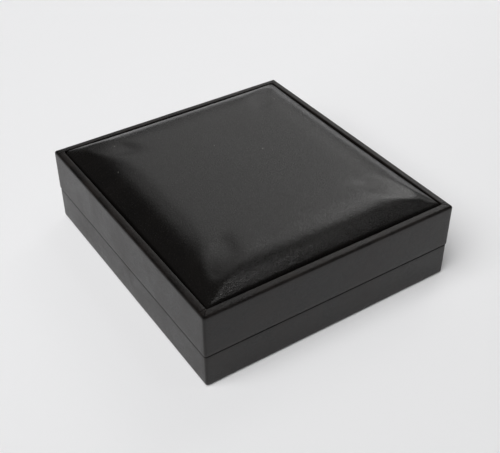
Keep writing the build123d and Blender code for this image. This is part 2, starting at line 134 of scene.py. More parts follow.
def addCamera(setup):
    data = bpy.data.cameras.new("camera")
    data.lens = setup["lens"]
    data.sensor_width = setup["sensor"]
    data.clip_start = setup["nearest"]
    data.clip_end = setup["farthest"]
    camera = bpy.data.objects.new("camera", data)
    scene.collection.objects.link(camera)
    camera.location = setup["place"]
    look = Vector(setup["target"]) - Vector(setup["place"])
    facing = look.to_track_quat("-Z", "Y").to_matrix().to_4x4()
    turned = facing @ Matrix.Rotation(math.radians(setup["roll"]), 4, "Z")
    camera.rotation_euler = turned.to_euler()
    scene.camera = camera


# pale floor with painted shade, and soft studio light

studio = {
    "floorHalf": 4.0,
    "floorFixed": {"Roughness": 0.6, "Specular IOR Level": 0.2},
    "floorTone": (0.90, 0.90, 0.91),
    # painted shade: toward the front right, along shadeToward, the floor's colour darkens from
    # floorTone to this
    "floorShade": (0.745, 0.745, 0.75),
    "shadeToward": (0.3, -0.95, 0.0),
    "shadeFrom": -0.12,
    "shadeTo": 0.55,
    "surround": (0.93, 0.935, 0.95, 1.0),  # what the camera sees past the floor
    "lightTone": (1.0, 0.995, 0.985, 1.0),
    "dim": 0.035,  # light from every direction
    # direction the light comes from, half width in degrees, soft edge in degrees, strength
    "lobes": [
        ((0.548, 0.609, 0.574), 14, 17, 0.82),
        ((0.663, 0.383, 0.643), 6, 5, 3.4),
        ((0.381, -0.247, 0.891), 2.5, 3, 6.8),
    ],
    "diffuseShare": 0.4,  # of the lobes' light, on surfaces without gloss
    # soft light from behind the camera, which the gloss doesn't show
    "fill": {"from": (-0.50, -0.17, 0.849), "spread": 55.0, "strength": 3.2},
}


def addFloor(setup):
    half = setup["floorHalf"]
    corners = [(-half, -half, 0), (half, -half, 0), (half, half, 0), (-half, half, 0)]
    floor = newPiece("floor", corners, [(0, 1, 2, 3)])
    material, tree, shader, place = startMaterial("paleFloor", setup["floorFixed"])
    # painted shade: the colour fades from floorTone to floorShade along shadeToward, darkest at the
    # front right
    forward = newNode(
        tree, "VectorMath", {"operation": "DOT_PRODUCT"}, {0: place, 1: setup["shadeToward"]}
    )
    fade = ranged(tree, forward["Value"], setup["shadeFrom"], setup["shadeTo"])
    tone = blendColour(tree, fade, setup["floorTone"], setup["floorShade"])
    connect(tree, shader, {"Base Color": tone})
    floor.data.materials.append(material)


def addSurroundings(setup):
    world = bpy.data.worlds.new("studio")
    world.use_nodes = True
    world.cycles.sampling_method = "NONE"  # so that the kind of ray is known
    scene.world = world
    tree = world.node_tree
    tree.nodes.clear()
    place = newNode(tree, "TexCoord")["Generated"]
    light = setup["dim"]
    for direction, half, edge, strength in setup["lobes"]:
        toward = {0: place, 1: Vector(direction).normalized()}
        dot = newNode(tree, "VectorMath", {"operation": "DOT_PRODUCT"}, toward)
        reach = {
            "Value": dot["Value"],
            "From Min": math.cos(math.radians(half + edge)),
            "From Max": math.cos(math.radians(half)),
            "To Max": strength,
        }
        spread = newNode(tree, "MapRange", {"interpolation_type": "SMOOTHSTEP"}, reach)
        light = mathNode(tree, "ADD", light, spread["Result"])
    rays = newNode(tree, "LightPath")
    share = ranged(tree, rays["Is Diffuse Ray"], 0.0, 1.0, 1.0, setup["diffuseShare"])
    shared = mathNode(tree, "MULTIPLY", light, share)
    lit = newNode(tree, "Background", None, {"Color": setup["lightTone"], "Strength": shared})
    seen = newNode(tree, "Background", None, {"Color": setup["surround"]})
    choice = {"Fac": rays["Is Camera Ray"], 1: lit[0], 2: seen[0]}
    newNode(tree, "OutputWorld", None, {"Surface": newNode(tree, "MixShader", None, choice)[0]})


def addFill(setup):
    data = bpy.data.lights.new("fill", "SUN")
    data.energy = setup["strength"]
    data.angle = math.radians(setup["spread"])
    light = bpy.data.objects.new("fill", data)
    scene.collection.objects.link(light)
    light.rotation_euler = Vector(setup["from"]).to_track_quat("Z", "Y").to_euler()
    light.visible_glossy = False


addCamera(cameraSetup)
addFloor(studio)
addSurroundings(studio)
addFill(studio["fill"])
scene.view_settings.view_transform = "Standard"
print("camera, floor and light in place")


# shared shader effects, as node groups

def startGroup(name, numbers, outputs):
    # every group takes a Vector besides its numbers
    group = bpy.data.node_groups.new(name, "ShaderNodeTree")
    face = group.interface
    face.new_socket(name="Vector", in_out="INPUT", socket_type="NodeSocketVector")
    for label, default in numbers.items():
        socket = face.new_socket(name=label, in_out="INPUT", socket_type="NodeSocketFloat")
        socket.default_value = default
    for label in outputs:
        face.new_socket(name=label, in_out="OUTPUT", socket_type="NodeSocketFloat")
    return group, newNode(group, "NodeGroupInput")


def finishGroup(group, results):
    newNode(group, "NodeGroupOutput", None, results)
    return group


def useGroup(tree, group, vector, values=None):
    return newNode(tree, "Group", {"node_tree": group}, {"Vector": vector, **(values or {})})


grainLook = {"warp": (0.0007, 0.0007, 0.0007), "broadShare": 0.37, "swell": 0.7, "tooth": 0.12}


def makeGrainGroup(look):
    # pebbled grain of a finished hide: cells parted by fine creases
    group, given = startGroup(
        "leatherGrain", {"Cells Per Metre": 1500.0, "Crease Width": 0.25}, ["Height", "Crease"]
    )
    place, count = given["Vector"], given["Cells Per Metre"]
    warp = texture(group, "Noise", place, {"Scale": 420.0, "Detail": 2.0})
    moved = {0: warp["Color"], 1: look["warp"], 2: place}
    spread = newNode(group, "VectorMath", {"operation": "MULTIPLY_ADD"}, moved)[0]
    cells = texture(group, "Voronoi", spread, {"Scale": count}, {"feature": "DISTANCE_TO_EDGE"})
    pebble = ranged(group, cells["Distance"], 0.0, given["Crease Width"])
    broadCount = mathNode(group, "MULTIPLY", count, look["broadShare"])
    broadValues = {"Scale": broadCount, "Smoothness": 0.8}
    broad = texture(group, "Voronoi", spread, broadValues, {"feature": "SMOOTH_F1"})
    fine = texture(group, "Noise", place, {"Scale": 5200.0, "Detail": 3.0})
    swell = mathNode(group, "MULTIPLY", broad["Distance"], look["swell"])
    tooth = mathNode(group, "MULTIPLY", fine["Fac"], look["tooth"])
    height = mathNode(group, "ADD", mathNode(group, "ADD", pebble, swell), tooth)
    crease = mathNode(group, "SUBTRACT", 1.0, pebble)
    return finishGroup(group, {"Height": height, "Crease": crease})


def makeMottleGroup():
    # slow unevenness of tone, in patches of the given size
    group, given = startGroup("mottle", {"Patches Per Metre": 30.0, "Softness": 0.25}, ["Value"])
    values = {
        "Scale": given["Patches Per Metre"], "Detail": 4.0, "Roughness": 0.55, "Distortion": 0.4,
    }
    cloud = texture(group, "Noise", given["Vector"], values)
    low = mathNode(group, "SUBTRACT", 0.5, given["Softness"])
    high = mathNode(group, "ADD", 0.5, given["Softness"])
    return finishGroup(group, {"Value": ranged(group, cloud["Fac"], low, high)})


# which part of a pattern's range is drawn out to the full contrast
wide = (0.35, 0.65)
wider = (0.3, 0.7)
full = (0.1, 0.9)


def makeWearGroup():
    # rubbed edges, broken up by noise
    group, given = startGroup("edgeWear", {"Low": 0.52, "High": 0.60}, ["Mask"])
    edge = newNode(group, "NewGeometry")["Pointiness"]
    rubbed = ranged(group, edge, given["Low"], given["High"])
    patch = texture(group, "Noise", given["Vector"], {"Scale": 160.0, "Detail": 5.0})
    broken = ranged(group, patch["Fac"], *wide)
    return finishGroup(group, {"Mask": mathNode(group, "MULTIPLY", rubbed, broken, clamp=True)})


def makeLintGroup():
    # sparse pale specks of dust
    numbers = {"Cells Per Metre": 110.0, "Size": 0.035, "Share": 0.12}
    group, given = startGroup("lint", numbers, ["Mask"])
    values = {"Scale": given["Cells Per Metre"], "Randomness": 1.0}
    cells = texture(group, "Voronoi", given["Vector"], values, {"feature": "F1"})
    near = mathNode(group, "LESS_THAN", cells["Distance"], given["Size"])
    drawn = newNode(group, "SeparateColor", None, {"Color": cells["Color"]})["Red"]
    kept = mathNode(group, "LESS_THAN", drawn, given["Share"])
    return finishGroup(group, {"Mask": mathNode(group, "MULTIPLY", near, kept)})


def makeNapGroup():
    # brushed fibres of suede or felt
    group, given = startGroup("nap", {"Fibres Per Metre": 2400.0}, ["Height", "Tone"])
    place = given["Vector"]
    values = {
        "Scale": given["Fibres Per Metre"], "Detail": 6.0, "Roughness": 0.75, "Distortion": 1.5,
    }
    fibre = texture(group, "Noise", place, values)["Fac"]
    brush = texture(group, "Noise", place, {"Scale": 70.0, "Detail": 3.0, "Distortion": 2.0})
    halved = mathNode(group, "MULTIPLY", fibre, 0.5)
    tone = mathNode(group, "MULTIPLY_ADD", brush["Fac"], 0.5, halved)
    return finishGroup(group, {"Height": fibre, "Tone": tone})


def makeWeaveGroup():
    # crossing threads, over and under
    numbers = {"Threads Across": 2000.0, "Threads Along": 2000.0}
    group, given = startGroup("weave", numbers, ["Height", "Thread"])
    parts = newNode(group, "SeparateXYZ", None, {0: given["Vector"]})
    waves = []
    for axis, count in (("X", "Threads Across"), ("Y", "Threads Along")):
        turns = mathNode(group, "MULTIPLY", parts[axis], given[count])
        waves.append(mathNode(group, "SINE", mathNode(group, "MULTIPLY", turns, math.pi)))
    crossing = mathNode(group, "MULTIPLY", *waves)
    height = ranged(group, crossing, -1.0, 1.0)
    return finishGroup(group, {"Height": height, "Thread": mathNode(group, "ABSOLUTE", waves[0])})


grainGroup = makeGrainGroup(grainLook)
mottleGroup = makeMottleGroup()
wearGroup = makeWearGroup()
lintGroup = makeLintGroup()
napGroup = makeNapGroup()
weaveGroup = makeWeaveGroup()


# materials

def mottled(tree, place, patches):
    return useGroup(tree, mottleGroup, place, {"Patches Per Metre": patches})["Value"]


def finishSurface(tree, shader, tone, rough, normal):
    connect(tree, shader, {"Base Color": tone, "Roughness": rough, "Normal": normal})


leather = {
    "creaseWidth": 0.3,
    "creaseRough": 0.12,
    "dust": (0.32, 0.31, 0.29),
    "slow": {"Scale": 55.0, "Detail": 3.0},
}


def makeLeather(name, look):
    material, tree, shader, place = startMaterial(name, {"Specular IOR Level": look["gloss"]})
    creases = {"Cells Per Metre": look["cells"], "Crease Width": leather["creaseWidth"]}
    grain = useGroup(tree, grainGroup, place, creases)
    mottle = mottled(tree, place, look["patches"])
    low, high = look["wear"]
    wear = useGroup(tree, wearGroup, place, {"Low": low, "High": high})
    lint = useGroup(tree, lintGroup, place, {"Share": look["lint"]})
    tone = blendColour(tree, mottle, look["dark"], look["pale"])
    tone = blendColour(tree, wear["Mask"], tone, look["worn"])
    tone = blendColour(tree, lint["Mask"], tone, leather["dust"])
    patchy = ranged(tree, mottle, 0.0, 1.0, *look["rough"])
    creased = mathNode(tree, "MULTIPLY_ADD", grain["Crease"], leather["creaseRough"], patchy)
    slow = texture(tree, "Noise", place, leather["slow"])
    waved = bumpNormal(tree, slow["Fac"], look["wave"])
    normal = bumpNormal(tree, grain["Height"], look["grainDepth"], waved)
    finishSurface(tree, shader, tone, creased, normal)
    return material


panelLeather = makeLeather("panelLeather", {
    "gloss": 0.5, "cells": 1050.0, "patches": 26.0,
    "dark": (0.0034, 0.0031, 0.0030), "pale": (0.0060, 0.0053, 0.0049),
    "worn": (0.016, 0.015, 0.014), "wear": (0.56, 0.68),
    "lint": 0.55, "rough": (0.19, 0.25), "wave": 0.00012, "grainDepth": 0.000032,
})
caseLeather = makeLeather("caseLeather", {
    "gloss": 0.33, "cells": 1250.0, "patches": 58.0,
    "dark": (0.0030, 0.0028, 0.0028), "pale": (0.0130, 0.0102, 0.0092),
    "worn": (0.040, 0.037, 0.035), "wear": (0.53, 0.66),
    "lint": 0.20, "rough": (0.20, 0.33), "wave": 0.00016, "grainDepth": 0.000045,
})


def makeSuede(name, look):
    pale = look["pale"]
    material, tree, shader, place = startMaterial(
        name,
        {
            "Specular IOR Level": 0.2,
            "Sheen Weight": look["sheen"],
            "Sheen Roughness": 0.5,
            "Sheen Tint": (*pale, 1.0),
        },
    )
    nap = useGroup(tree, napGroup, place)
    mottle = mottled(tree, place, look["patches"])
    tone = blendColour(tree, ranged(tree, nap["Tone"], *wide), look["dark"], pale)
    tone = blendColour(tree, mottle, tone, tuple(look["fade"] * part for part in pale))
    rough = ranged(tree, nap["Tone"], *wider, *look["rough"])
    finishSurface(tree, shader, tone, rough, bumpNormal(tree, nap["Height"], look["napDepth"]))
    return material


ivorySuede = makeSuede("ivorySuede", {
    "pale": (0.72, 0.66, 0.55), "dark": (0.52, 0.465, 0.375), "sheen": 0.35,
    "patches": 45.0, "fade": 0.93, "rough": (0.78, 0.95), "napDepth": 0.00022,
})


def makeWoven(name, look):
    material, tree, shader, place = startMaterial(name, look["fixed"])
    threads = {"Threads Across": look["across"], "Threads Along": look["along"]}
    weave = useGroup(tree, weaveGroup, place, threads)
    mottle = mottled(tree, place, look["patches"])
    tone = blendColour(tree, ranged(tree, weave["Thread"], *full), look["dark"], look["pale"])
    tone = blendColour(tree, mottle, tone, look["faded"])
    rough = ranged(tree, mottle, 0.0, 1.0, *look["rough"])
    normal = bumpNormal(tree, weave["Height"], look["threadDepth"])
    finishSurface(tree, shader, tone, rough, normal)
    return material


ivorySatin = makeWoven("ivorySatin", {
    "fixed": {
        "Specular IOR Level": 0.6, "Anisotropic": 0.4, "Sheen Weight": 0.25, "Sheen Roughness": 0.3,
    },
    "across": 3600.0, "along": 1400.0, "patches": 30.0,
    "dark": (0.66, 0.60, 0.49), "pale": (0.76, 0.71, 0.61), "faded": (0.72, 0.665, 0.56),
    "rough": (0.30, 0.40), "threadDepth": 0.00003,
})
ribbonWeave = makeWoven("ribbonWeave", {
    "fixed": {"Specular IOR Level": 0.5, "Sheen Weight": 0.2},
    "across": 2600.0, "along": 900.0, "patches": 60.0,
    "dark": (0.54, 0.47, 0.35), "pale": (0.70, 0.64, 0.52), "faded": (0.64, 0.575, 0.46),
    "rough": (0.42, 0.52), "threadDepth": 0.00008,
})
blackCloth = makeWoven("blackCloth", {
    "fixed": {"Specular IOR Level": 0.25, "Sheen Weight": 0.15},
    "across": 1500.0, "along": 1500.0, "patches": 40.0,
    "dark": (0.010, 0.010, 0.011), "pale": (0.022, 0.021, 0.021), "faded": (0.017, 0.0165, 0.016),
    "rough": (0.80, 0.92), "threadDepth": 0.00015,
})
ivoryThread = makeWoven("ivoryThread", {
    "fixed": {"Specular IOR Level": 0.4},
    "across": 5000.0, "along": 5000.0, "patches": 90.0,
    "dark": (0.50, 0.43, 0.31), "pale": (0.70, 0.62, 0.48), "faded": (0.62, 0.54, 0.41),
    "rough": (0.5, 0.6), "threadDepth": 0.00005,
})


def midway(first, second):
    return tuple((a + b) / 2 for a, b in zip(first, second))


woodLook = {
    "stretch": (60.0, 60.0, 900.0),
    "rings": {"Detail": 6.0, "Distortion": 0.8},
    "patches": 20.0,
    "rough": (0.55, 0.72),
    "ringDepth": 0.00012,
}


def makeWood(name, pale, dark):
    look = woodLook
    material, tree, shader, place = startMaterial(name, {"Specular IOR Level": 0.3})
    rings = stretched(tree, place, look["stretch"], look["rings"])
    mottle = mottled(tree, place, look["patches"])
    tone = blendColour(tree, ranged(tree, rings, *wide), dark, pale)
    tone = blendColour(tree, mottle, tone, midway(pale, dark))
    rough = ranged(tree, rings, *wider, *look["rough"])
    finishSurface(tree, shader, tone, rough, bumpNormal(tree, rings, look["ringDepth"]))
    return material


boardLook = {"patches": 60.0, "rough": (0.8, 0.92), "napDepth": 0.0001}


def makeBoard(name, pale, dark, flecks):
    # pressed fibre: grey or brown, with flecks
    look = boardLook
    material, tree, shader, place = startMaterial(name, {"Specular IOR Level": 0.2})
    nap = useGroup(tree, napGroup, place, {"Fibres Per Metre": flecks})
    mottle = mottled(tree, place, look["patches"])
    tone = blendColour(tree, ranged(tree, nap["Height"], *wide), dark, pale)
    tone = blendColour(tree, mottle, tone, midway(pale, dark))
    rough = ranged(tree, nap["Tone"], *wider, *look["rough"])
    finishSurface(tree, shader, tone, rough, bumpNormal(tree, nap["Height"], look["napDepth"]))
    return material


foamLook = {
    "cells": 1400.0, "wallWidth": 0.35, "patches": 25.0,
    "wall": (0.70, 0.66, 0.52), "inside": (0.52, 0.47, 0.34), "faded": (0.64, 0.59, 0.44),
    "rough": (0.85, 0.95), "cellDepth": 0.0003,
}


def makeFoam(name, look):
    material, tree, shader, place = startMaterial(name, {"Specular IOR Level": 0.15})
    values = {"Scale": look["cells"]}
    cells = texture(tree, "Voronoi", place, values, {"feature": "DISTANCE_TO_EDGE"})
    mottle = mottled(tree, place, look["patches"])
    inside = ranged(tree, cells["Distance"], 0.0, look["wallWidth"])
    tone = blendColour(tree, inside, look["wall"], look["inside"])
    tone = blendColour(tree, mottle, tone, look["faded"])
    rough = ranged(tree, mottle, 0.0, 1.0, *look["rough"])
    finishSurface(tree, shader, tone, rough, bumpNormal(tree, inside, look["cellDepth"]))
    return material


metal = {"patches": 260.0, "wear": {"Low": 0.53, "High": 0.62}, "scratchDepth": 0.00001}


def makeMetal(name, look):
    material, tree, shader, place = startMaterial(name, {"Metallic": 1.0})
    mottle = mottled(tree, place, metal["patches"])
    wear = useGroup(tree, wearGroup, place, metal["wear"])
    scratch = stretched(tree, place, look["brushing"], {"Detail": 4.0})
    tone = blendColour(tree, mottle, look["dull"], look["bright"])
    tone = blendColour(tree, wear["Mask"], tone, look["rubbed"])
    rough = ranged(tree, scratch, *wider, *look["rough"])
    finishSurface(tree, shader, tone, rough, bumpNormal(tree, scratch, metal["scratchDepth"]))
    return material


frameWood = makeWood("frameWood", (0.56, 0.40, 0.235), (0.36, 0.235, 0.125))
stainedWood = makeWood("stainedWood", (0.014, 0.012, 0.011), (0.007, 0.006, 0.006))
fibreBoard = makeBoard("fibreBoard", (0.34, 0.245, 0.155), (0.20, 0.135, 0.08), 1400.0)
greyCard = makeBoard("greyCard", (0.40, 0.385, 0.355), (0.25, 0.24, 0.22), 2600.0)
padFoam = makeFoam("padFoam", foamLook)
hingeBrass = makeMetal("hingeBrass", {
    "brushing": (400.0, 9000.0, 9000.0), "rough": (0.20, 0.34),
    "dull": (0.42, 0.285, 0.105), "bright": (0.72, 0.53, 0.22), "rubbed": (0.83, 0.66, 0.34),
})
springSteel = makeMetal("springSteel", {
    "brushing": (9000.0, 500.0, 9000.0), "rough": (0.26, 0.40),
    "dull": (0.30, 0.305, 0.32), "bright": (0.52, 0.525, 0.54), "rubbed": (0.70, 0.70, 0.71),
})
print("materials made:", len(bpy.data.materials))


# mesh helpers

def applyModifiers(piece):
    # the evaluated mesh becomes the piece's own
    graph = bpy.context.evaluated_depsgraph_get()
    graph.update()
    settled = bpy.data.meshes.new_from_object(piece.evaluated_get(graph))
    piece.modifiers.clear()
    old = piece.data
    piece.data = settled
    settled.name = piece.name
    bpy.data.meshes.remove(old)


def smoothShade(piece, sharpFrom):
    # edges bent by more degrees than that stay sharp
    piece.data.polygons.foreach_set("use_smooth", [True] * len(piece.data.polygons))
    piece.data.set_sharp_from_angle(angle=math.radians(sharpFrom))


def dress(piece, material, body, replaced=()):
    piece.data.materials.clear()
    piece.data.materials.append(material)
    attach(piece, body)
    if replaced:
        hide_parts(*replaced)


def skinRings(rings, closed=False, capped=False):
    # quads between rings of as many points each, and a face over both ends if capped
    count = len(rings[0])
    vertices = [point for ring in rings for point in ring]
    faces = []
    for r in range(len(rings) if closed else len(rings) - 1):
        low = r * count
        high = (r + 1) % len(rings) * count
        for i in range(count):
            j = (i + 1) % count
            faces.append((low + i, low + j, high + j, high + i))
    if capped:
        faces.append(tuple(reversed(range(count))))
        faces.append(tuple(range(len(vertices) - count, len(vertices))))
    return vertices, faces


def gridFaces(across, up):
    # quads over rows of points, and the points round the border in order
    faces = []
    for r in range(up - 1):
        for c in range(across - 1):
            i = r * across + c
            faces.append((i, i + 1, i + across + 1, i + across))
    border = list(range(across))
    border += [r * across + across - 1 for r in range(1, up)]
    border += [(up - 1) * across + c for c in range(across - 2, -1, -1)]
    border += [r * across for r in range(up - 2, 0, -1)]
    return faces, border


def skirtFaces(lower, upper):
    # quads from one closed row of points up to another
    pairs = zip(lower, lower[1:] + lower[:1], upper[1:] + upper[:1], upper)
    return [tuple(corners) for corners in pairs]


def circle(x, y, radius, sides):
    angles = [2 * math.pi * i / sides for i in range(sides)]
    return [(x + radius * math.cos(a), y + radius * math.sin(a)) for a in angles]


def roundedRing(halfX, halfY, radius, height, cells, perCorner=5):
    # a rounded rectangle, seen from above it turns left; cells is the number along each straight side
    corners = [(1, -1, -90), (1, 1, 0), (-1, 1, 90), (-1, -1, 180)]
    arcs = []
    for signX, signY, start in corners:
        centre = (signX * (halfX - radius), signY * (halfY - radius))
        arc = []
        for i in range(perCorner + 1):
            angle = math.radians(start + 90 * i / perCorner)
            arc.append((centre[0] + radius * math.cos(angle), centre[1] + radius * math.sin(angle)))
        arcs.append(arc)
    ring = []
    for k, arc in enumerate(arcs):
        ring += [(x, y, height) for x, y in arc]
        first = arc[-1]
        last = arcs[(k + 1) % 4][0]
        steps = cells[1] if k % 2 == 0 else cells[0]
        for i in range(1, steps):
            t = i / steps
            x = first[0] + (last[0] - first[0]) * t
            y = first[1] + (last[1] - first[1]) * t
            ring.append((x, y, height))
    return ring


def unevenness(point, size, seed):
    return noise.noise(Vector(point) / size + Vector((seed, seed * 0.7, -seed)))


def cutAway(piece, cutters):
    for cutter in cutters:
        cut = piece.modifiers.new("cut", "BOOLEAN")
        cut.operation = "DIFFERENCE"
        cut.solver = "EXACT"
        cut.object = cutter
    applyModifiers(piece)
    for cutter in cutters:
        bpy.data.objects.remove(cutter)


def boxCutter(low, high):
    (x0, y0, z0), (x1, y1, z1) = low, high
    ground = [(x0, y0), (x1, y0), (x1, y1), (x0, y1)]
    faces = [(3, 2, 1, 0), (4, 5, 6, 7)] + skirtFaces([0, 1, 2, 3], [4, 5, 6, 7])
    return newPiece("cutter", [(x, y, z) for z in (z0, z1) for x, y in ground], faces)


def prismCutter(section, x0, x1):
    # section: (y, z) points, turning left as seen from +X
    count = len(section)
    near, far = list(range(count)), list(range(count, 2 * count))
    faces = [tuple(reversed(near)), tuple(far)] + skirtFaces(near, far)
    return newPiece("cutter", [(x, y, z) for x in (x0, x1) for y, z in section], faces)


def grooveCutter(start, end, levels, width, depth):
    # a narrow V along a line whose ends lie at two levels
    along = (Vector(end) - Vector(start)).normalized()
    side = Vector((-along.y, along.x)) * width / 2
    vertices = []
    for (x, y), level in zip((start, end), levels):
        vertices += [
            (x + side.x * 2, y + side.y * 2, level + depth),
            (x, y, level - depth),
            (x - side.x * 2, y - side.y * 2, level + depth),
        ]
    faces = [(0, 1, 2), (5, 4, 3), (0, 3, 4, 1), (1, 4, 5, 2), (2, 5, 3, 0)]
    return newPiece("cutter", vertices, faces)


# leather wraps round the two frames

hinge = {
    "lineY": 98.8 * mm,
    "lineZ": 24.5 * mm,
    "roomRadius": 1.45 * mm,
    "roomSides": 32,
    "bevelAngle": 48.5,  # degrees
    "bevelReach": 12 * mm,
    "clearance": 0.1 * mm,
    "mortiseSpare": 0.15 * mm,
    "mortiseOverlap": 0.5 * mm,
    "overrun": 1.1,  # how far a cut runs past the sides, as a share of the width
}
wrap = {
    "leather": 0.8 * mm,
    "cornerRadius": 1.6 * mm,
    "railWidth": 7.0 * mm,
    "rimEdge": 2.0 * mm,
    "rimTilt": 6.0,  # degrees, outward
    "rimBulge": 0.08 * mm,
    "rimInner": 0.8 * mm,
    "seamEdge": 0.8 * mm,
    "footEdge": 1.5 * mm,
    "rimWidth": 5.4 * mm,
    "recessCorner": 1.0 * mm,
    "turnUnder": 12.0 * mm,
    "cell": 3.0 * mm,
    "foldWidth": 0.35 * mm,
    "foldDepth": 0.28 * mm,
    "foldSpare": 0.4 * mm,  # how far a fold's cut runs past the rim
    "foldDrop": 0.12 * mm,
    "sectionStep": 2.2 * mm,
    # unevenness: height, size, seed
    "wave": (0.07 * mm, 28 * mm, 3.1),
    "ripple": (0.02 * mm, 7 * mm, 8.7),
    # from this far before the recess to this far past it, its corner holds
    "recessReach": (1.5 * mm, 0.1 * mm),
    "leastCorner": 0.45 * mm,
    "sharpFrom": 32,  # degrees
}


def roundOff(centreInset, centreHeight, radius, start, end, steps=5):
    # an arc of the wrap's section; 0 degrees points out of the case and 90 points up
    points = []
    for i in range(steps + 1):
        angle = math.radians(start + (end - start) * i / steps)
        points.append(
            (centreInset - radius * math.cos(angle), centreHeight + radius * math.sin(angle))
        )
    return points


def rimSection(rim, edge, lip):
    # the rim's top: a rolled outer edge, a strip that falls outward a little, and a rolled lip
    tilt = math.radians(wrap["rimTilt"])
    lean = Vector((-math.sin(tilt), math.cos(tilt)))
    lipCentre = Vector((wrap["rimWidth"] - lip, rim - lip))
    across = lipCentre.x - edge
    drop = across * math.tan(tilt) + (edge - lip) / math.cos(tilt)
    edgeCentre = Vector((edge, lipCentre.y - drop))
    points = roundOff(edgeCentre.x, edgeCentre.y, edge, 0, 90 - wrap["rimTilt"], 8)
    first = edgeCentre + lean * edge
    last = lipCentre + lean * lip
    for t in (0.25, 0.5, 0.75):  # the strip bulges a little, most in the middle
        middle = first.lerp(last, t) + lean * wrap["rimBulge"] * 4 * t * (1 - t)
        points.append((middle.x, middle.y))
    return points + roundOff(lipCentre.x, lipCentre.y, lip, 90 - wrap["rimTilt"], 180)


def runBetween(first, last, cell):
    # points strictly between two section points
    steps = max(1, round(math.dist(first, last) / cell))
    return [
        tuple(a + (b - a) * i / steps for a, b in zip(first, last)) for i in range(1, steps)
    ]


def cornerAt(inset, recessInset):
    # the radius of the outline's corners, that far in
    before, past = wrap["recessReach"]
    if recessInset and recessInset - before < inset < recessInset + past:
        return wrap["recessCorner"]
    return max(wrap["cornerRadius"] - inset, wrap["leastCorner"])


def wrapPiece(name, low, high, outer, inner, recessInset):
    # outer is divided finely and gets the unevenness, inner is the hidden side
    halfX = (high.x - low.x) / 2
    halfY = (high.y - low.y) / 2
    dense = [outer[0]]
    for first, last in zip(outer, outer[1:]):
        dense += runBetween(first, last, wrap["sectionStep"]) + [last]
    cells = (round(2 * halfX / wrap["cell"]), round(2 * halfY / wrap["cell"]))
    rings = []
    for inset, height in dense + inner:
        radius = cornerAt(inset, recessInset)
        rings.append(roundedRing(halfX - inset, halfY - inset, radius, height, cells))
    vertices, faces = skinRings(rings, closed=True)
    piece = newPiece(name, vertices, faces)
    outerCount = len(dense) * len(rings[0])
    normals = [v.normal.copy() for v in piece.data.vertices]
    for vertex, normal in zip(piece.data.vertices[:outerCount], normals):
        shift = 0.0
        for height, size, seed in (wrap["wave"], wrap["ripple"]):
            shift += height * unevenness(vertex.co, size, seed)
        vertex.co += normal * shift
    return piece


def finishWrap(piece, cutters, body, replaced):
    cutAway(piece, cutters)
    smoothShade(piece, wrap["sharpFrom"])
    dress(piece, caseLeather, body, [replaced])


def hingeCutters(leaf, rising):
    # the leaf's mortise, and the room round the barrels
    low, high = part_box(leaf)
    gap = hinge["clearance"]
    barrelFront = hinge["lineY"] - hinge["roomRadius"]
    level = hinge["lineZ"]
    reach = wrap["leather"] + hinge["mortiseSpare"]
    floor, top = (level, level + reach) if rising else (level - reach, level)
    back = barrelFront + hinge["mortiseOverlap"]
    mortise = boxCutter((low.x - gap, low.y - gap, floor), (high.x + gap, back, top))
    room = circle(hinge["lineY"], level, hinge["roomRadius"], hinge["roomSides"])
    return [mortise, prismCutter(room, low.x - gap, high.x + gap)]


def bevelCutter(low, high, level, rising):
    # takes off the back edge, so that the lid can open
    slope = math.radians(hinge["bevelAngle"])
    sense = 1 if rising else -1
    reach = hinge["bevelReach"]
    along = Vector((math.cos(slope), sense * math.sin(slope))) * reach
    outward = Vector((math.sin(slope), -sense * math.cos(slope))) * reach
    middle = Vector((hinge["lineY"], level))
    corners = [middle - along, middle - along + outward, middle + along + outward, middle + along]
    section = corners if rising else corners[::-1]
    return prismCutter(section, low.x * hinge["overrun"], high.x * hinge["overrun"])


lidLow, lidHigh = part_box("lid_leather")
baseLow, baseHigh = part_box("base_leather")
panelLow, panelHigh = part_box("lid_panel_leather")


def foldCutters(rim):
    # fold lines of the leather at the four corners of the rim
    width = wrap["rimWidth"]
    spare = wrap["foldSpare"]
    fall = width * math.tan(math.radians(wrap["rimTilt"])) + wrap["foldDrop"]
    innerX, innerY = lidHigh.x - width - spare, lidHigh.y - width - spare
    outerX, outerY = lidHigh.x + spare, lidHigh.y + spare
    cutters = []
    for signX in (-1, 1):
        for signY in (-1, 1):
            start = (signX * innerX, signY * innerY)
            for end in ((signX * outerX, signY * outerY), (signX * outerX, signY * innerY)):
                levels = (rim, rim - fall)
                cutters.append(
                    grooveCutter(start, end, levels, wrap["foldWidth"], wrap["foldDepth"])
                )
    return cutters


def makeLidWrap():
    skin = wrap["leather"]
    inside = skin + wrap["railWidth"]
    foot, rim = lidLow.z, lidHigh.z
    ledge = panelLow.z
    seam = wrap["seamEdge"]
    outer = [(inside, foot)]
    outer += roundOff(seam, foot + seam, seam, -90, 0)
    outer += rimSection(rim, wrap["rimEdge"], wrap["rimInner"])
    outer += [(wrap["rimWidth"], ledge)]
    inner = [
        (wrap["rimWidth"] - skin, ledge),
        (wrap["rimWidth"] - skin, rim - skin),
        (skin, rim - skin),
        (skin, foot + skin),
        (inside, foot + skin),
    ]
    piece = wrapPiece("lidWrap", lidLow, lidHigh, outer, inner, wrap["rimWidth"])
    cutters = [bevelCutter(lidLow, lidHigh, foot, True)]
    for hand in ("left", "right"):
        cutters += hingeCutters(f"hinge_{hand}_lid_leaf", True)
    finishWrap(piece, cutters + foldCutters(rim), "lid", "lid_leather")


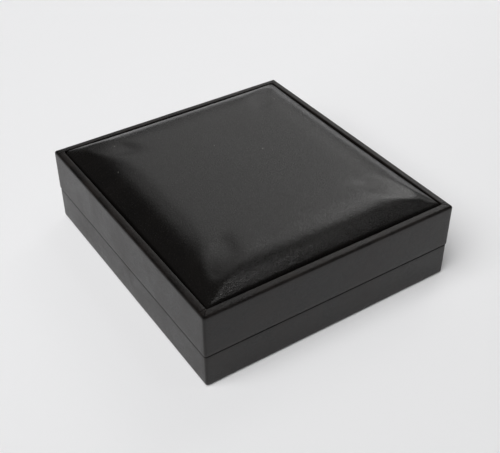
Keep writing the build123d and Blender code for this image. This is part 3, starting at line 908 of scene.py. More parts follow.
def makeBaseWrap():
    skin = wrap["leather"]
    inside = skin + wrap["railWidth"]
    foot, top = baseLow.z, baseHigh.z
    seam = wrap["seamEdge"]
    bottom = wrap["footEdge"]
    outer = [(wrap["turnUnder"], foot)]
    outer += roundOff(bottom, foot + bottom, bottom, -90, 0)
    outer += roundOff(seam, top - seam, seam, 0, 90)
    outer += [(inside, top)]
    inner = [
        (inside, top - skin),
        (skin, top - skin),
        (skin, foot + bottom),
        (bottom, foot + skin),
        (wrap["turnUnder"], foot + skin),
    ]
    piece = wrapPiece("baseWrap", baseLow, baseHigh, outer, inner, None)
    cutters = [bevelCutter(baseLow, baseHigh, top, False)]
    for hand in ("left", "right"):
        cutters += hingeCutters(f"hinge_{hand}_base_leaf", False)
        springLow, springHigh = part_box(f"hinge_{hand}_spring")
        gap = hinge["clearance"]
        cutters.append(
            boxCutter(
                (springLow.x - gap, springLow.y - gap, springLow.z - gap),
                (springHigh.x + gap, springHigh.y + gap, hinge["lineZ"]),
            )
        )
    finishWrap(piece, cutters, "case", "base_leather")


makeLidWrap()
makeBaseWrap()
print("leather wraps made")


# padded pieces

def insetAt(u, v, corner, growth):
    # how far in the rounded outline through a point lies; u and v are its distances from two sides
    nearest = min(u, v)
    if max(u, v) >= corner + (1 + growth) * nearest:
        return nearest
    a = 2 * (1 + growth) ** 2 - growth ** 2
    b = 2 * (1 + growth) * (u + v - 2 * corner) + 2 * corner * growth
    c = (u - corner) ** 2 + (v - corner) ** 2 - corner ** 2
    return max(0.0, (b + math.sqrt(max(0.0, b * b - 4 * a * c))) / (2 * a))


def crownRise(inset, form):
    # an edge roll, a sloping bank, then an arc that runs level
    slope = math.radians(form["slope"])
    roll = form["roll"]
    rollInset = roll * (1 - math.sin(slope))
    if inset < rollInset:
        return roll * math.cos(math.asin(1 - inset / roll))
    rise = roll * math.cos(slope)
    rise += min(inset - rollInset, form["bank"]) * math.tan(slope)
    past = min(inset - rollInset - form["bank"], form["run"])
    if past > 0 and form["run"] > 0:
        radius = form["run"] / math.sin(slope)
        tilt = math.asin(math.sin(slope) - past / radius)
        rise += radius * (math.cos(tilt) - math.cos(slope))
    return rise


def gridStops(half, form):
    # fine steps beside both edges, then even cells
    fine = form["fine"]
    inner = half - fine[-1]
    count = round(2 * inner / form["cell"])
    stops = [-half + step for step in fine]
    stops += [-inner + 2 * inner * i / count for i in range(1, count)]
    return stops + [half - step for step in reversed(fine)]


def padTop(halfX, halfY, edge, form):
    # rows of points over the pad, and how far in each one lies
    corner = form["corner"]
    points, insets = [], []
    for y in gridStops(halfY, form):
        for x in gridStops(halfX, form):
            u, v = halfX - abs(x), halfY - abs(y)
            if u < corner and v < corner:
                p, q = corner - u, corner - v
                shrink = max(p, q) / math.hypot(p, q)
                u, v = corner - p * shrink, corner - q * shrink
            inset = insetAt(u, v, corner, form["growth"])
            px = math.copysign(halfX - u, x)
            py = math.copysign(halfY - v, y)
            dome = form["dome"] * (1 - (px / halfX) ** 2) * (1 - (py / halfY) ** 2)
            points.append((px, py, edge + crownRise(inset, form) + dome))
            insets.append(inset)
    return points, insets


edgeRipple = {"size": 16 * mm, "seed": 2.4}


def drawnIn(points, insets, halfX, halfY, form):
    # the middle of each side pulls in a little, less further in
    drawn = []
    for (x, y, z), inset in zip(points, insets):
        fade = max(0.0, 1 - inset / form["drawReach"]) ** 2
        uneven = unevenness((x, y, 0), edgeRipple["size"], edgeRipple["seed"])
        ripple = form["ripple"] * uneven * fade
        pullX = (form["drawIn"] * (1 - (y / halfY) ** 2) * fade + ripple) * (x / halfX) ** 2
        pullY = (form["drawIn"] * (1 - (x / halfX) ** 2) * fade + ripple) * (y / halfY) ** 2
        drawn.append((x - math.copysign(pullX, x), y - math.copysign(pullY, y), z))
    return drawn


def padShell(halfX, halfY, edge, foot, form):
    # the top's grid, then rings down its sides, each with its inset, height and hold. The hold is
    # 0 where the side is drawn in like the top's edge, and 1 where it isn't
    sides = [(inset, edge - drop, hold) for inset, drop, hold in form.get("edgeSides", [])]
    sides += [(inset, foot + rise, hold) for inset, rise, hold in form["footSides"]]
    points, insets = padTop(halfX, halfY, edge, form)
    across = len(gridStops(halfX, form))
    faces, ring = gridFaces(across, len(points) // across)
    outline = [points[i] for i in ring]
    points = drawnIn(points, insets, halfX, halfY, form)
    pulled = [points[i] for i in ring]
    for inset, height, hold in sides:
        start = len(points)
        scaleX = (halfX - inset) / halfX
        scaleY = (halfY - inset) / halfY
        for (x, y, _), (drawnX, drawnY, _) in zip(outline, pulled):
            sideX = (drawnX + (x - drawnX) * hold) * scaleX
            sideY = (drawnY + (y - drawnY) * hold) * scaleY
            points.append((sideX, sideY, height))
        insets += [-1.0] * len(outline)
        lower = list(range(start, len(points)))
        faces += skirtFaces(lower, ring)
        ring = lower
    return points, faces, insets


cloth = {"mass": 0.3, "shearShare": 0.4}


def inflate(piece, held, push):
    # held: weights from 0, free, to 1, fixed. Air pressure swells the free part, within a limit
    group = piece.vertex_groups.new(name="held")
    for index, weight in enumerate(held):
        if weight > 0:
            group.add([index], weight, "REPLACE")
    before = np.array([v.co for v in piece.data.vertices])
    sheet = piece.modifiers.new("cloth", "CLOTH")
    given = {
        "quality": push["quality"],
        "mass": cloth["mass"],
        "tension_stiffness": push["stretch"],
        "compression_stiffness": push["stretch"],
        "shear_stiffness": push["stretch"] * cloth["shearShare"],
        "bending_stiffness": push["bending"],
        "use_pressure": True,
        "uniform_pressure_force": push["pressure"],
        "vertex_group_mass": "held",
        "pin_stiffness": 1.0,
    }
    for key, value in given.items():
        setattr(sheet.settings, key, value)
    sheet.settings.effector_weights.gravity = 0
    sheet.collision_settings.use_collision = False
    sheet.point_cache.frame_start = 1
    sheet.point_cache.frame_end = push["frames"]
    for step in range(1, push["frames"] + 1):
        scene.frame_set(step)
    graph = bpy.context.evaluated_depsgraph_get()
    after = np.array([v.co for v in piece.evaluated_get(graph).data.vertices])
    piece.modifiers.clear()
    piece.vertex_groups.clear()
    scene.frame_set(1)
    moved = after - before
    length = np.linalg.norm(moved, axis=1, keepdims=True)
    limit = push["limit"]
    eased = limit * np.tanh(length / limit)
    settled = before + moved * eased / np.maximum(length, 1e-9)
    print("  swell of", piece.name, "mm:", round(float(eased.max() / mm), 2))
    piece.data.vertices.foreach_set("co", settled.astype(np.float32).ravel())
    piece.data.update()


def heldNear(insets, push):
    # fixed near the edge, free further in
    fixed, free = push["heldTo"], push["freeFrom"]
    return [1.0 - min(1.0, max(0.0, (inset - fixed) / (free - fixed))) for inset in insets]


def subdivide(piece):
    finer = piece.modifiers.new("finer", "SUBSURF")
    finer.levels = 1
    finer.render_levels = 1


def closeFoot(piece):
    # one flat face where the piece rests
    mesh = bmesh.new()
    mesh.from_mesh(piece.data)
    rim = [edge for edge in mesh.edges if edge.is_boundary]
    bmesh.ops.holes_fill(mesh, edges=rim, sides=0)
    bmesh.ops.recalc_face_normals(mesh, faces=mesh.faces)
    mesh.to_mesh(piece.data)
    mesh.free()


def finishPad(pad, material, body, replaced):
    subdivide(pad)
    applyModifiers(pad)
    closeFoot(pad)
    smoothShade(pad, sharpFrom=60)
    dress(pad, material, body, [replaced])


lidPanel = {
    "roll": 2.6 * mm,
    "slope": 31.0,
    "bank": 5.5 * mm,
    "run": 14.5 * mm,
    "corner": 1.8 * mm,
    "growth": 1.0,
    "dome": 0.7 * mm,
    "drawIn": 1.15 * mm,  # how far the middle of each side pulls in
    "drawReach": 24.0 * mm,
    "ripple": 0.10 * mm,
    "fine": [step * mm for step in (0, 0.12, 0.45, 0.95, 1.6, 2.6, 4.0)],
    "cell": 2.6 * mm,
    "edgeDrop": 1.7 * mm,
    "edgeSides": [(0, 1.2 * mm, 0.3), (0, 2.4 * mm, 1)],
    "footSides": [
        (0, 1.6 * mm, 1), (0.12 * mm, 0.5 * mm, 1), (0.5 * mm, 0.1 * mm, 1),
        (1.1 * mm, 0, 1), (8.0 * mm, 0, 1),
    ],
    "pucker": 0.02 * mm,
    "puckerFrom": 0.3 * mm,
    "puckerReach": 17.0 * mm,
    "puckers": 9.0,
    "puckerWobble": (1.2, 9 * mm, 5.5),  # amount, size, seed
}
lidPanelSwell = {
    "quality": 6,
    "stretch": 25.0,
    "bending": 12.0,
    "pressure": 3.0,
    "frames": 16,
    "limit": 0.6 * mm,
    "heldTo": 1.2 * mm,
    "freeFrom": 4.5 * mm,
}


def pucker(piece, insets, halfX, halfY, form):
    # small gathers that run in from each corner and fade
    reach = form["puckerReach"]
    amount, size, seed = form["puckerWobble"]
    for vertex, inset in zip(piece.data.vertices, insets):
        if inset < form["puckerFrom"]:
            continue
        away = Vector((halfX - abs(vertex.co.x), halfY - abs(vertex.co.y)))
        distance = away.length
        if distance > reach:
            continue
        angle = math.atan2(away.y, away.x)
        fade = math.sin(math.pi * distance / reach) * (1 - distance / reach)
        wobble = amount * unevenness(vertex.co, size, seed)
        vertex.co.z += form["pucker"] * fade * math.sin(form["puckers"] * angle + wobble)
    piece.data.update()


def makeLidPanel():
    form = lidPanel
    halfX = (panelHigh.x - panelLow.x) / 2
    halfY = (panelHigh.y - panelLow.y) / 2
    edge = lidHigh.z - form["edgeDrop"]
    points, faces, insets = padShell(halfX, halfY, edge, panelLow.z, form)
    cover = newPiece("lidPanelCover", points, faces)
    inflate(cover, heldNear(insets, lidPanelSwell), lidPanelSwell)
    pucker(cover, insets, halfX, halfY, form)
    swollen = [v.co.copy() for v in cover.data.vertices]
    subdivide(cover)
    applyModifiers(cover)
    wall = cover.modifiers.new("wall", "SOLIDIFY")
    wall.thickness = wrap["leather"]
    wall.offset = -1
    wall.use_even_offset = True
    applyModifiers(cover)
    smoothShade(cover, sharpFrom=60)
    dress(cover, panelLeather, "lid", ["lid_panel_leather"])
    return swollen, insets, halfX, halfY


panelFoam = {"gap": wrap["leather"] + 0.12 * mm, "dropShare": 1.12}


def makePanelFoam(swollen, insets, halfX, halfY):
    # the foam fills the cover, down to the board
    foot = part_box("lid_panel_foam")[0].z
    gap = panelFoam["gap"]
    topCount = sum(1 for inset in insets if inset >= 0)
    across = len(gridStops(halfX, lidPanel))
    scaleX = (halfX - gap) / halfX
    scaleY = (halfY - gap) / halfY
    points = []
    for co in swollen[:topCount]:
        points.append((co.x * scaleX, co.y * scaleY, co.z - gap * panelFoam["dropShare"]))
    faces, border = gridFaces(across, topCount // across)
    points += [(points[i][0], points[i][1], foot) for i in border]
    lower = list(range(topCount, len(points)))
    faces += skirtFaces(lower, border)
    faces.append(tuple(reversed(lower)))
    foam = newPiece("lidPanelFoam", points, faces)
    smoothShade(foam, sharpFrom=50)
    dress(foam, padFoam, "lid", ["lid_panel_foam"])


makePanelFoam(*makeLidPanel())
print("padded lid panel made")


# pieces inside the box

lidSatin = {
    "roll": 1.5 * mm,
    "slope": 24.0,
    "bank": 3.0 * mm,
    "run": 11.0 * mm,
    "corner": 3.0 * mm,
    "growth": 0.6,
    "dome": 0.5 * mm,
    "drawIn": 0.5 * mm,
    "drawReach": 20.0 * mm,
    "ripple": 0.15 * mm,
    "fine": [step * mm for step in (0, 0.15, 0.5, 1.1, 2.0)],
    "cell": 1.7 * mm,
    "side": 1.6 * mm,
    "footSides": [(0, 0.8 * mm, 1), (0.05 * mm, 0.25 * mm, 1), (0.3 * mm, 0, 1)],
    "pleatWidth": 6.5 * mm,
    "pleatDepth": 0.42 * mm,
    "pleatRise": 1.2 * mm,
    "pleatReach": 9.0 * mm,
    "pleatBend": (1.6, 11 * mm, 6.3),  # amount, size, seed
}
lidSatinSwell = {
    "quality": 5,
    "stretch": 18.0,
    "bending": 0.8,
    "pressure": 3.0,
    "frames": 14,
    "limit": 0.8 * mm,
    "heldTo": 1.0 * mm,
    "freeFrom": 4.0 * mm,
}


def pleats(points, insets, halfX, halfY, form):
    # soft gathers that run in from the edges and fade
    gathered = []
    amount, size, seed = form["pleatBend"]
    for (x, y, z), inset in zip(points, insets):
        if inset <= 0:
            gathered.append((x, y, z))
            continue
        along = y if halfX - abs(x) < halfY - abs(y) else x
        bend = amount * unevenness((x, y, 0), size, seed)
        wave = math.sin(2 * math.pi * along / form["pleatWidth"] + bend)
        fade = min(1.0, inset / form["pleatRise"]) * math.exp(-inset / form["pleatReach"])
        gathered.append((x, y, z + form["pleatDepth"] * wave * fade))
    return gathered


def makeLidSatin():
    form = lidSatin
    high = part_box("lid_satin_pad")[1]
    points, faces, insets = padShell(high.x, high.y, form["side"], 0, form)
    points = pleats(points, insets, high.x, high.y, form)
    hung = [(x, y, high.z - z) for x, y, z in points]
    pad = newPiece("lidSatinPad", hung, [tuple(reversed(face)) for face in faces])
    inflate(pad, heldNear(insets, lidSatinSwell), lidSatinSwell)
    finishPad(pad, ivorySatin, "lid", "lid_satin_pad")


insertPad = {
    "roll": 2.5 * mm,
    "slope": 0.0,
    "bank": 0.0,
    "run": 0.0,
    "corner": 3.0 * mm,
    "growth": 0.0,
    "dome": 0.0,
    "drawIn": 0.35 * mm,
    "drawReach": 10.0 * mm,
    "ripple": 0.12 * mm,
    "fine": [step * mm for step in (0, 0.12, 0.4, 0.9, 1.6, 2.5, 3.6)],
    "cell": 2.6 * mm,
    "footSides": [
        (0, 3.4 * mm, 0.6), (0, 1.2 * mm, 1), (0.12 * mm, 0.4 * mm, 1), (0.5 * mm, 0, 1),
    ],
}
insertPadSwell = {
    "quality": 5,
    "stretch": 25.0,
    "bending": 3.0,
    "pressure": 1.0,
    "frames": 10,
    "limit": 0.12 * mm,
    "heldTo": 1.0 * mm,
    "freeFrom": 6.0 * mm,
}


def makeInsertPad():
    form = insertPad
    low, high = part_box("insert_pad")
    points, faces, insets = padShell(high.x, high.y, high.z - form["roll"], low.z, form)
    pad = newPiece("insertCushion", points, faces)
    inflate(pad, heldNear(insets, insertPadSwell), insertPadSwell)
    for vertex in pad.data.vertices:
        vertex.co.z = min(vertex.co.z, high.z)
    finishPad(pad, ivorySuede, "case", "insert_pad")


def filletRing(corners, radius, height, perCorner, perSide):
    # corners turn left; each is rounded, and the sides between are divided
    ring = []
    count = len(corners)
    arcs = []
    for i in range(count):
        corner = Vector(corners[i])
        back = (Vector(corners[i - 1]) - corner).normalized()
        ahead = (Vector(corners[(i + 1) % count]) - corner).normalized()
        half = back.angle(ahead) / 2
        reach = radius / math.tan(half)
        centre = corner + (back + ahead).normalized() * radius / math.sin(half)
        first = corner + back * reach - centre
        sweep = math.pi - 2 * half
        arc = []
        for k in range(perCorner + 1):
            turn = Matrix.Rotation(sweep * k / perCorner, 2)
            arc.append(centre + turn @ first)
        arcs.append(arc)
    for i, arc in enumerate(arcs):
        ring += [(p.x, p.y, height) for p in arc]
        last, following = arc[-1], arcs[(i + 1) % count][0]
        for k in range(1, perSide):
            p = last.lerp(following, k / perSide)
            ring.append((p.x, p.y, height))
    return ring


necklaceForm = {
    "frontHalf": 59.0 * mm,
    "backHalf": 33.0 * mm,
    "corner": 24.0 * mm,
    "tighten": 0.4,
    "roll": 2.5 * mm,
    "slope": 42.0,
    "bank": 2.0 * mm,
    "run": 14.0 * mm,
    "startSmaller": 0.5 * mm,
    "insets": [step * mm for step in (0, 0.1, 0.35, 0.8, 1.5, 2.5, 4, 6, 8.5, 11.5, 15, 18)],
    "middle": (0.82, 0.62, 0.42, 0.22),
    "topRise": 0.45 * mm,
    "voxel": 2.4 * mm,
    "perCorner": 8,
    "perSide": 18,
    "footInset": 1.5 * mm,
    "heldHeight": 0.9 * mm,
    "easing": 0.5,
    "easings": 6,
    "pipingRadius": 1.1 * mm,
    "pipingInset": 0.4 * mm,
    "pipingStep": 1.5 * mm,
    "pipingSides": 12,
}
necklaceSwell = {
    "quality": 5,
    "stretch": 15.0,
    "bending": 1.5,
    "pressure": 4.0,
    "frames": 18,
    "limit": 0.9 * mm,
}


def formRing(form, low, high, inset, height):
    # the form's outline, that far in
    lean = (form["backHalf"] - form["frontHalf"]) / (high.y - low.y)
    narrow = inset * math.sqrt(1 + lean * lean)
    front, back = low.y + inset, high.y - inset
    frontX = form["frontHalf"] + lean * (front - low.y) - narrow
    backX = form["frontHalf"] + lean * (back - low.y) - narrow
    corners = [(frontX, front), (backX, back), (-backX, back), (-frontX, front)]
    radius = form["corner"] - form["tighten"] * inset
    return filletRing(corners, radius, height, form["perCorner"], form["perSide"])


def makeNecklaceForm():
    form = necklaceForm
    low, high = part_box("necklace_form")
    foot = low.z
    spare = form["startSmaller"]
    rings = [formRing(form, low, high, spare + form["footInset"], foot)]
    for inset in form["insets"]:
        rise = crownRise(inset, form)
        rings.append(formRing(form, low, high, spare + inset, foot + rise))
    top = rings[-1]
    centreY = sum(y for _, y, _ in top) / len(top)
    for k, share in enumerate(form["middle"]):
        rise = form["topRise"] * (k + 1) / len(form["middle"])
        rings.append([(x * share, centreY + (y - centreY) * share, z + rise) for x, y, z in top])
    pad = newPiece("necklaceCushion", *skinRings(rings, capped=True))
    evenMesh = pad.modifiers.new("even", "REMESH")
    evenMesh.mode = "VOXEL"
    evenMesh.voxel_size = form["voxel"]
    applyModifiers(pad)
    heldTo = foot + form["heldHeight"]
    held = [1.0 if v.co.z < heldTo else 0.0 for v in pad.data.vertices]
    inflate(pad, held, necklaceSwell)
    easing = pad.modifiers.new("ease", "SMOOTH")
    easing.factor = form["easing"]
    easing.iterations = form["easings"]
    subdivide(pad)
    applyModifiers(pad)
    for vertex in pad.data.vertices:
        vertex.co.z = max(vertex.co.z, foot)
    smoothShade(pad, sharpFrom=70)
    dress(pad, ivorySuede, "case", ["necklace_form"])
    return formRing(form, low, high, form["pipingInset"], foot + form["pipingRadius"])


# Geometry Nodes for what follows a path

def startTree(name, inputs):
    tree = bpy.data.node_groups.new(name, "GeometryNodeTree")
    face = tree.interface
    face.new_socket(name="Geometry", in_out="INPUT", socket_type="NodeSocketGeometry")
    for label, (kind, default) in inputs.items():
        socket = face.new_socket(name=label, in_out="INPUT", socket_type="NodeSocket" + kind)
        socket.default_value = default
    face.new_socket(name="Material", in_out="INPUT", socket_type="NodeSocketMaterial")
    face.new_socket(name="Geometry", in_out="OUTPUT", socket_type="NodeSocketGeometry")
    return tree, newNode(tree, "NodeGroupInput")


def meshNode(tree, kind, inputs, settings=None):
    return newNode(tree, "GeometryNode" + kind, settings, inputs)


def finishTree(tree, given, mesh):
    real = meshNode(tree, "RealizeInstances", {"Geometry": mesh})["Geometry"]
    painted = meshNode(tree, "SetMaterial", {"Geometry": real, "Material": given["Material"]})
    newNode(tree, "NodeGroupOutput", None, {"Geometry": painted["Geometry"]})
    return tree


stitchBead = {"Segments": 8, "Rings": 5, "Radius": 1.0}
stitchSizes = (0.9, 1.1)


def makeStitchTree():
    tree, given = startTree(
        "stitchLine",
        {
            "Pitch": ("Float", 0.0016),
            "Stitch Length": ("Float", 0.0011),
            "Thread Radius": ("Float", 0.00015),
            "Slant": ("Float", 0.12),
            "Seed": ("Int", 3),
        },
    )
    path = meshNode(tree, "MeshToCurve", {"Mesh": given["Geometry"]})["Curve"]
    along = {"Curve": path, "Length": given["Pitch"]}
    spaced = meshNode(tree, "CurveToPoints", along, {"mode": "LENGTH"})
    thread = meshNode(tree, "MeshUVSphere", stitchBead)["Mesh"]
    smooth = meshNode(tree, "SetShadeSmooth", {"Geometry": thread})["Geometry"]
    tangent = {"Vector": spaced["Tangent"]}
    facing = newNode(tree, "FunctionNodeAlignRotationToVector", {"axis": "X"}, tangent)
    halfLength = mathNode(tree, "MULTIPLY", given["Stitch Length"], 0.5)
    thick = given["Thread Radius"]
    size = newNode(tree, "CombineXYZ", None, {"X": halfLength, "Y": thick, "Z": thick})[0]
    spread = {2: stitchSizes[0], 3: stitchSizes[1], "Seed": given["Seed"]}
    vary = newNode(tree, "FunctionNodeRandomValue", {"data_type": "FLOAT"}, spread)[1]
    varied = newNode(tree, "VectorMath", {"operation": "SCALE"}, {0: size, "Scale": vary})
    placing = {"Points": spaced["Points"], "Instance": smooth}
    placing.update({"Rotation": facing["Rotation"], "Scale": varied["Vector"]})
    sown = meshNode(tree, "InstanceOnPoints", placing)["Instances"]
    slant = newNode(tree, "CombineXYZ", None, {"Z": given["Slant"]})[0]
    turned = meshNode(tree, "RotateInstances", {"Instances": sown, "Rotation": slant})
    return finishTree(tree, given, turned["Instances"])


def makePipingTree():
    tree, given = startTree(
        "pipingRun",
        {
            "Radius": ("Float", 0.0011),
            "Step": ("Float", 0.0015),
            "Sides": ("Int", 12),
            "Unevenness": ("Float", 0.10),
            "Seed": ("Int", 5),
        },
    )
    path = meshNode(tree, "MeshToCurve", {"Mesh": given["Geometry"]})["Curve"]
    steps = {"Curve": path, "Length": given["Step"]}
    even = meshNode(tree, "ResampleCurve", steps, {"mode": "LENGTH"})["Curve"]
    least = mathNode(tree, "SUBTRACT", 1.0, given["Unevenness"])
    spread = {2: least, 3: 1.0, "Seed": given["Seed"]}
    swell = newNode(tree, "FunctionNodeRandomValue", {"data_type": "FLOAT"}, spread)[1]
    blurring = {0: swell, "Iterations": 3}
    blur = meshNode(tree, "BlurAttribute", blurring, {"data_type": "FLOAT"})[0]
    thick = meshNode(tree, "SetCurveRadius", {"Curve": even, "Radius": blur})["Curve"]
    ring = {"Resolution": given["Sides"], "Radius": given["Radius"]}
    section = meshNode(tree, "CurvePrimitiveCircle", ring)["Curve"]
    tube = meshNode(tree, "CurveToMesh", {"Curve": thick, "Profile Curve": section})["Mesh"]
    smooth = meshNode(tree, "SetShadeSmooth", {"Geometry": tube})["Geometry"]
    return finishTree(tree, given, smooth)


stitchTree = makeStitchTree()
pipingTree = makePipingTree()


def alongPath(name, points, closed, tree, values, material, body):
    # points joined by edges, dressed by a Geometry Nodes tree and made a plain mesh
    edges = [(i, i + 1) for i in range(len(points) - 1)]
    if closed:
        edges.append((len(points) - 1, 0))
    piece = newPiece(name, points, [], edges)
    follow = piece.modifiers.new("follow", "NODES")
    follow.node_group = tree
    given = dict(values, Material=material)
    for item in tree.interface.items_tree:
        if item.in_out == "INPUT" and item.name in given:
            follow[item.identifier] = given[item.name]
    applyModifiers(piece)
    dress(piece, material, body)


formFoot = makeNecklaceForm()
alongPath(
    "formPiping",
    formFoot,
    True,
    pipingTree,
    {
        "Radius": necklaceForm["pipingRadius"],
        "Step": necklaceForm["pipingStep"],
        "Sides": necklaceForm["pipingSides"],
    },
    ivorySatin,
    "case",
)
makeLidSatin()
makeInsertPad()
print("pads of the insert and the lid made")


# straps that hold a chain, each folded round its staple

strap = {
    "thickness": 1.0 * mm,
    "skived": 0.46 * mm,
    "straightEnd": 2.4 * mm,  # from the staple, like the distances below
    "straightSteps": 26,
    # where the leather thins toward the loop: distance, drop, thickness
    "skiving": [(1.7 * mm, 0.09 * mm, 0.78 * mm), (1.0 * mm, 0.24 * mm, 0.56 * mm)],
    "loopRadius": 0.74 * mm,  # to the middle of the skived leather
    "loopTurns": range(-115, 141, 17),  # degrees
    "tailStart": 1.3 * mm,
    "tailLength": 3.6 * mm,
    "tailSteps": 6,
    "tailThickness": 0.34 * mm,
    "tailEnd": 0.5,  # how thick its end is, as a share
    "tailNarrower": 0.15 * mm,
    "clear": 0.02 * mm,
    "tipRadius": 3.2 * mm,
    "tipLeast": 0.4,
    # across the width: share of it, share of the thickness
    "across": [(-1, 0.55), (-0.97, 1), (-0.5, 1), (0, 1), (0.5, 1), (0.97, 1), (1, 0.55)],
    "capHole": 2.5 * mm,
    "holeSides": 32,
    "holeSpare": 1 * mm,
    "stitchInset": 0.68 * mm,
    "stitchEnd": 2.1 * mm,
    "bendSteps": 8,
    "pitch": 1.55 * mm,
    "stitch": 1.05 * mm,
    "thread": 0.14 * mm,
}


def strapSpine(tipX, pivotX, pivotZ, form, top):
    # (x, z, thickness) along the middle of the leather, from the tip round the staple and back
    middle = top - form["thickness"] / 2
    radius = form["loopRadius"]
    spine = []
    straight = pivotX - form["straightEnd"] - tipX
    steps = form["straightSteps"]
    for i in range(steps + 1):
        spine.append((tipX + straight * i / steps, middle, form["thickness"]))
    for distance, drop, thickness in form["skiving"]:
        spine.append((pivotX - distance, middle - drop, thickness))
    for degrees in form["loopTurns"]:
        angle = math.radians(degrees)
        spine.append(
            (pivotX + radius * math.cos(angle), pivotZ + radius * math.sin(angle), form["skived"])
        )
    tail = top + form["tailThickness"] / 2 + form["clear"]
    start = pivotX - form["tailStart"]
    last = form["tailSteps"]
    for i in range(last + 1):
        thin = form["tailThickness"] * (1 if i < last else form["tailEnd"])
        spine.append((start - form["tailLength"] * i / last, tail, thin))
    return spine


def strapWidth(x, tipX, half, radius):
    # narrower round the tip's corners
    past = x - tipX
    if past >= radius:
        return half
    return half - radius + math.sqrt(max(0.0, radius ** 2 - (radius - past) ** 2))


def strapRings(spine, tipX, half, middleY, sign, form):
    rings = []
    straightCount = form["straightSteps"] + 1
    for i, (x, z, thick) in enumerate(spine):
        before = spine[max(0, i - 1)]
        after = spine[min(len(spine) - 1, i + 1)]
        along = Vector((after[0] - before[0], after[1] - before[1])).normalized()
        up = Vector((-along.y, along.x))
        width = half
        if i < straightCount:
            narrowed = strapWidth(x + form["clear"], tipX, half, form["tipRadius"])
            width = max(form["tipLeast"] * half, narrowed)
        elif i >= straightCount + len(form["skiving"]):
            width = half - form["tailNarrower"]
        upper, lower = [], []
        for share, rounded in form["across"]:
            lift = up * thick / 2 * rounded
            upper.append((sign * (x + lift.x), middleY + share * width, z + lift.y))
            lower.append((sign * (x - lift.x), middleY + share * width, z - lift.y))
        rings.append(upper + lower[::-1])
    return rings


def stitchPath(endX, tipX, half, form):
    # round the tip, from one long edge to the other
    reach = half - form["stitchInset"]
    turnX = tipX + form["stitchInset"]
    bend = form["tipRadius"] - form["stitchInset"]
    path = [(endX, reach)]
    for i in range(form["bendSteps"] + 1):
        angle = math.radians(90 + 90 * i / form["bendSteps"])
        path.append((turnX + bend + bend * math.cos(angle), reach - bend + bend * math.sin(angle)))
    return path + [(x, -y) for x, y in reversed(path)]


def makeStrap(hand, sign):
    name = f"chain_strap_{hand}"
    body = f"{hand}_strap"
    low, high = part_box(name)
    capLow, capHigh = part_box(f"strap_cap_{hand}")
    stapleLow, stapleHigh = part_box(f"strap_staple_{hand}")
    form = strap
    tipX = min(abs(low.x), abs(high.x))
    pivotX = abs(stapleLow.x + stapleHigh.x) / 2
    pivotZ = (low.z + high.z) / 2
    top = capLow.z + form["thickness"]
    middleY = (low.y + high.y) / 2
    half = (high.y - low.y) / 2
    spine = strapSpine(tipX, pivotX, pivotZ, form, top)
    rings = strapRings(spine, tipX, half, middleY, sign, form)
    vertices, faces = skinRings(rings, capped=True)
    if sign > 0:
        faces = [tuple(reversed(face)) for face in faces]
    piece = newPiece("chainStrap" + hand.capitalize(), vertices, faces)
    hole = circle((capLow.x + capHigh.x) / 2, middleY, form["capHole"], form["holeSides"])
    spare = form["holeSpare"]
    ends = [[(x, y, z) for x, y in hole] for z in (low.z - spare, high.z + spare)]
    cutAway(piece, [newPiece("cutter", *skinRings(ends, capped=True))])
    smoothShade(piece, sharpFrom=42)
    dress(piece, ivorySuede, body, [name])
    path = stitchPath(pivotX - form["stitchEnd"], tipX, half, form)
    seam = [(sign * x, middleY + y, top + form["clear"]) for x, y in path]
    alongPath(
        f"strapStitches{hand.capitalize()}",
        seam,
        False,
        stitchTree,
        {
            "Pitch": form["pitch"],
            "Stitch Length": form["stitch"],
            "Thread Radius": form["thread"],
        },
        ivoryThread,
        body,
    )


makeStrap("left", -1)
makeStrap("right", 1)
print("chain straps made")


# ribbon that lifts the insert, and the cloth under the box

liftRibbon = {
    "thickness": 0.34 * mm,
    "bend": 2.5 * mm,
    "rib": 0.75 * mm,
    "ribDepth": 0.022 * mm,
    "step": 0.19 * mm,
    "across": 10,
    "clear": 0.03 * mm,
    "wave": 0.10 * mm,
    "waveShare": 0.6,
    "sag": 0.5,
    "picot": 0.75,
}


def makeLiftRibbon():
    form = liftRibbon
    low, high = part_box("lift_ribbon")
    thick = form["thickness"]
    topZ = high.z - (high.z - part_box("insert_pad")[1].z) / 2
    frontY = low.y + thick / 2 + form["clear"]
    bend = form["bend"]
    level = high.y - (frontY + bend)
    quarter = bend * math.pi / 2
    drop = topZ - bend - low.z
    length = level + quarter + drop
    steps = round(length / form["step"])
    across = form["across"]
    rings = []
    for i in range(steps + 1):
        s = length * i / steps
        if s < level:
            y, z, tilt = high.y - s, topZ, math.pi / 2
        elif s < level + quarter:
            tilt = math.pi / 2 + (s - level) / bend
            y = frontY + bend + bend * math.cos(tilt)
            z = topZ - bend + bend * math.sin(tilt)
        else:
            y, z, tilt = frontY, topZ - bend - (s - level - quarter), math.pi
        out = Vector((math.cos(tilt), math.sin(tilt)))
        rib = form["ribDepth"] * math.sin(2 * math.pi * s / form["rib"])
        lift = form["wave"] * max(0.0, 1 - s / (form["waveShare"] * level)) ** 2
        upper, lower = [], []
        for k in range(across + 1):
            share = 2 * k / across - 1
            x = high.x * share
            picot = form["picot"] if abs(share) == 1 else 1.0
            height = lift * (1 - form["sag"] * share * share)
            for side, store in ((1, upper), (-1, lower)):
                offset = out * (height + side * (thick / 2 + rib) * picot)
                store.append((x, y + offset.x, z + offset.y))
        rings.append(upper + lower[::-1])
    ribbon = newPiece("liftRibbon", *skinRings(rings, capped=True))
    smoothShade(ribbon, sharpFrom=60)
    dress(ribbon, ribbonWeave, "case", ["lift_ribbon"])


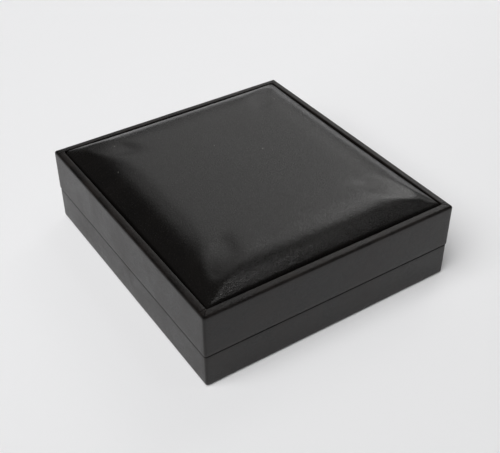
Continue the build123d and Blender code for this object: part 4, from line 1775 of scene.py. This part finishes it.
undersideFelt = {
    "cell": 4.0 * mm,
    # unevenness: amount, size, seed
    "edge": (0.16 * mm, 9 * mm, 1.7),
    "relief": (0.03 * mm, 12 * mm, 4.4),
}


def makeUndersideCloth():
    form = undersideFelt
    low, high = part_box("underside_cloth")
    countX = round(2 * high.x / form["cell"])
    countY = round(2 * high.y / form["cell"])
    edge, edgeSize, edgeSeed = form["edge"]
    relief, reliefSize, reliefSeed = form["relief"]
    under, over = [], []
    for r in range(countY + 1):
        for c in range(countX + 1):
            x = low.x + (high.x - low.x) * c / countX
            y = low.y + (high.y - low.y) * r / countY
            ragged = edge * (0.5 + unevenness((x, y, 0), edgeSize, edgeSeed))
            if c in (0, countX):
                x -= math.copysign(ragged, x)
            if r in (0, countY):
                y -= math.copysign(ragged, y)
            rise = relief * (0.5 + 0.5 * unevenness((x, y, 0), reliefSize, reliefSeed))
            under.append((x, y, low.z + rise))
            over.append((x, y, high.z))
    total = len(under)
    quads, border = gridFaces(countX + 1, countY + 1)
    faces = [(a, d, c, b) for a, b, c, d in quads]
    faces += [tuple(total + i for i in quad) for quad in quads]
    faces += skirtFaces(border, [total + i for i in border])
    cloth = newPiece("undersideCloth", under + over, faces)
    smoothShade(cloth, sharpFrom=50)
    dress(cloth, blackCloth, "case", ["underside_cloth"])


makeLiftRibbon()
makeUndersideCloth()
print("ribbon and underside cloth made")


# carried-over nodes

for name in nodes:
    if name.endswith("_rail"):
        finish = stainedWood if name.startswith("lid") else frameWood  # the lid's shows when open
    elif name in ("floor_board", "insert_board", "lid_panel_board"):
        finish = fibreBoard
    elif name in ("underside_infill_card", "lid_lining_board"):
        finish = greyCard
    elif name.endswith("_spring"):
        finish = springSteel
    elif "hinge" in name or "staple" in name or "stud" in name or "cap" in name:
        finish = hingeBrass
    elif name.endswith("_leather"):
        finish = caseLeather
    elif name.endswith("_foam"):
        finish = padFoam
    elif name == "lid_satin_pad":
        finish = ivorySatin
    elif name == "underside_cloth":
        finish = blackCloth
    else:
        finish = ivorySuede
    nodes[name].data.materials.clear()
    nodes[name].data.materials.append(finish)
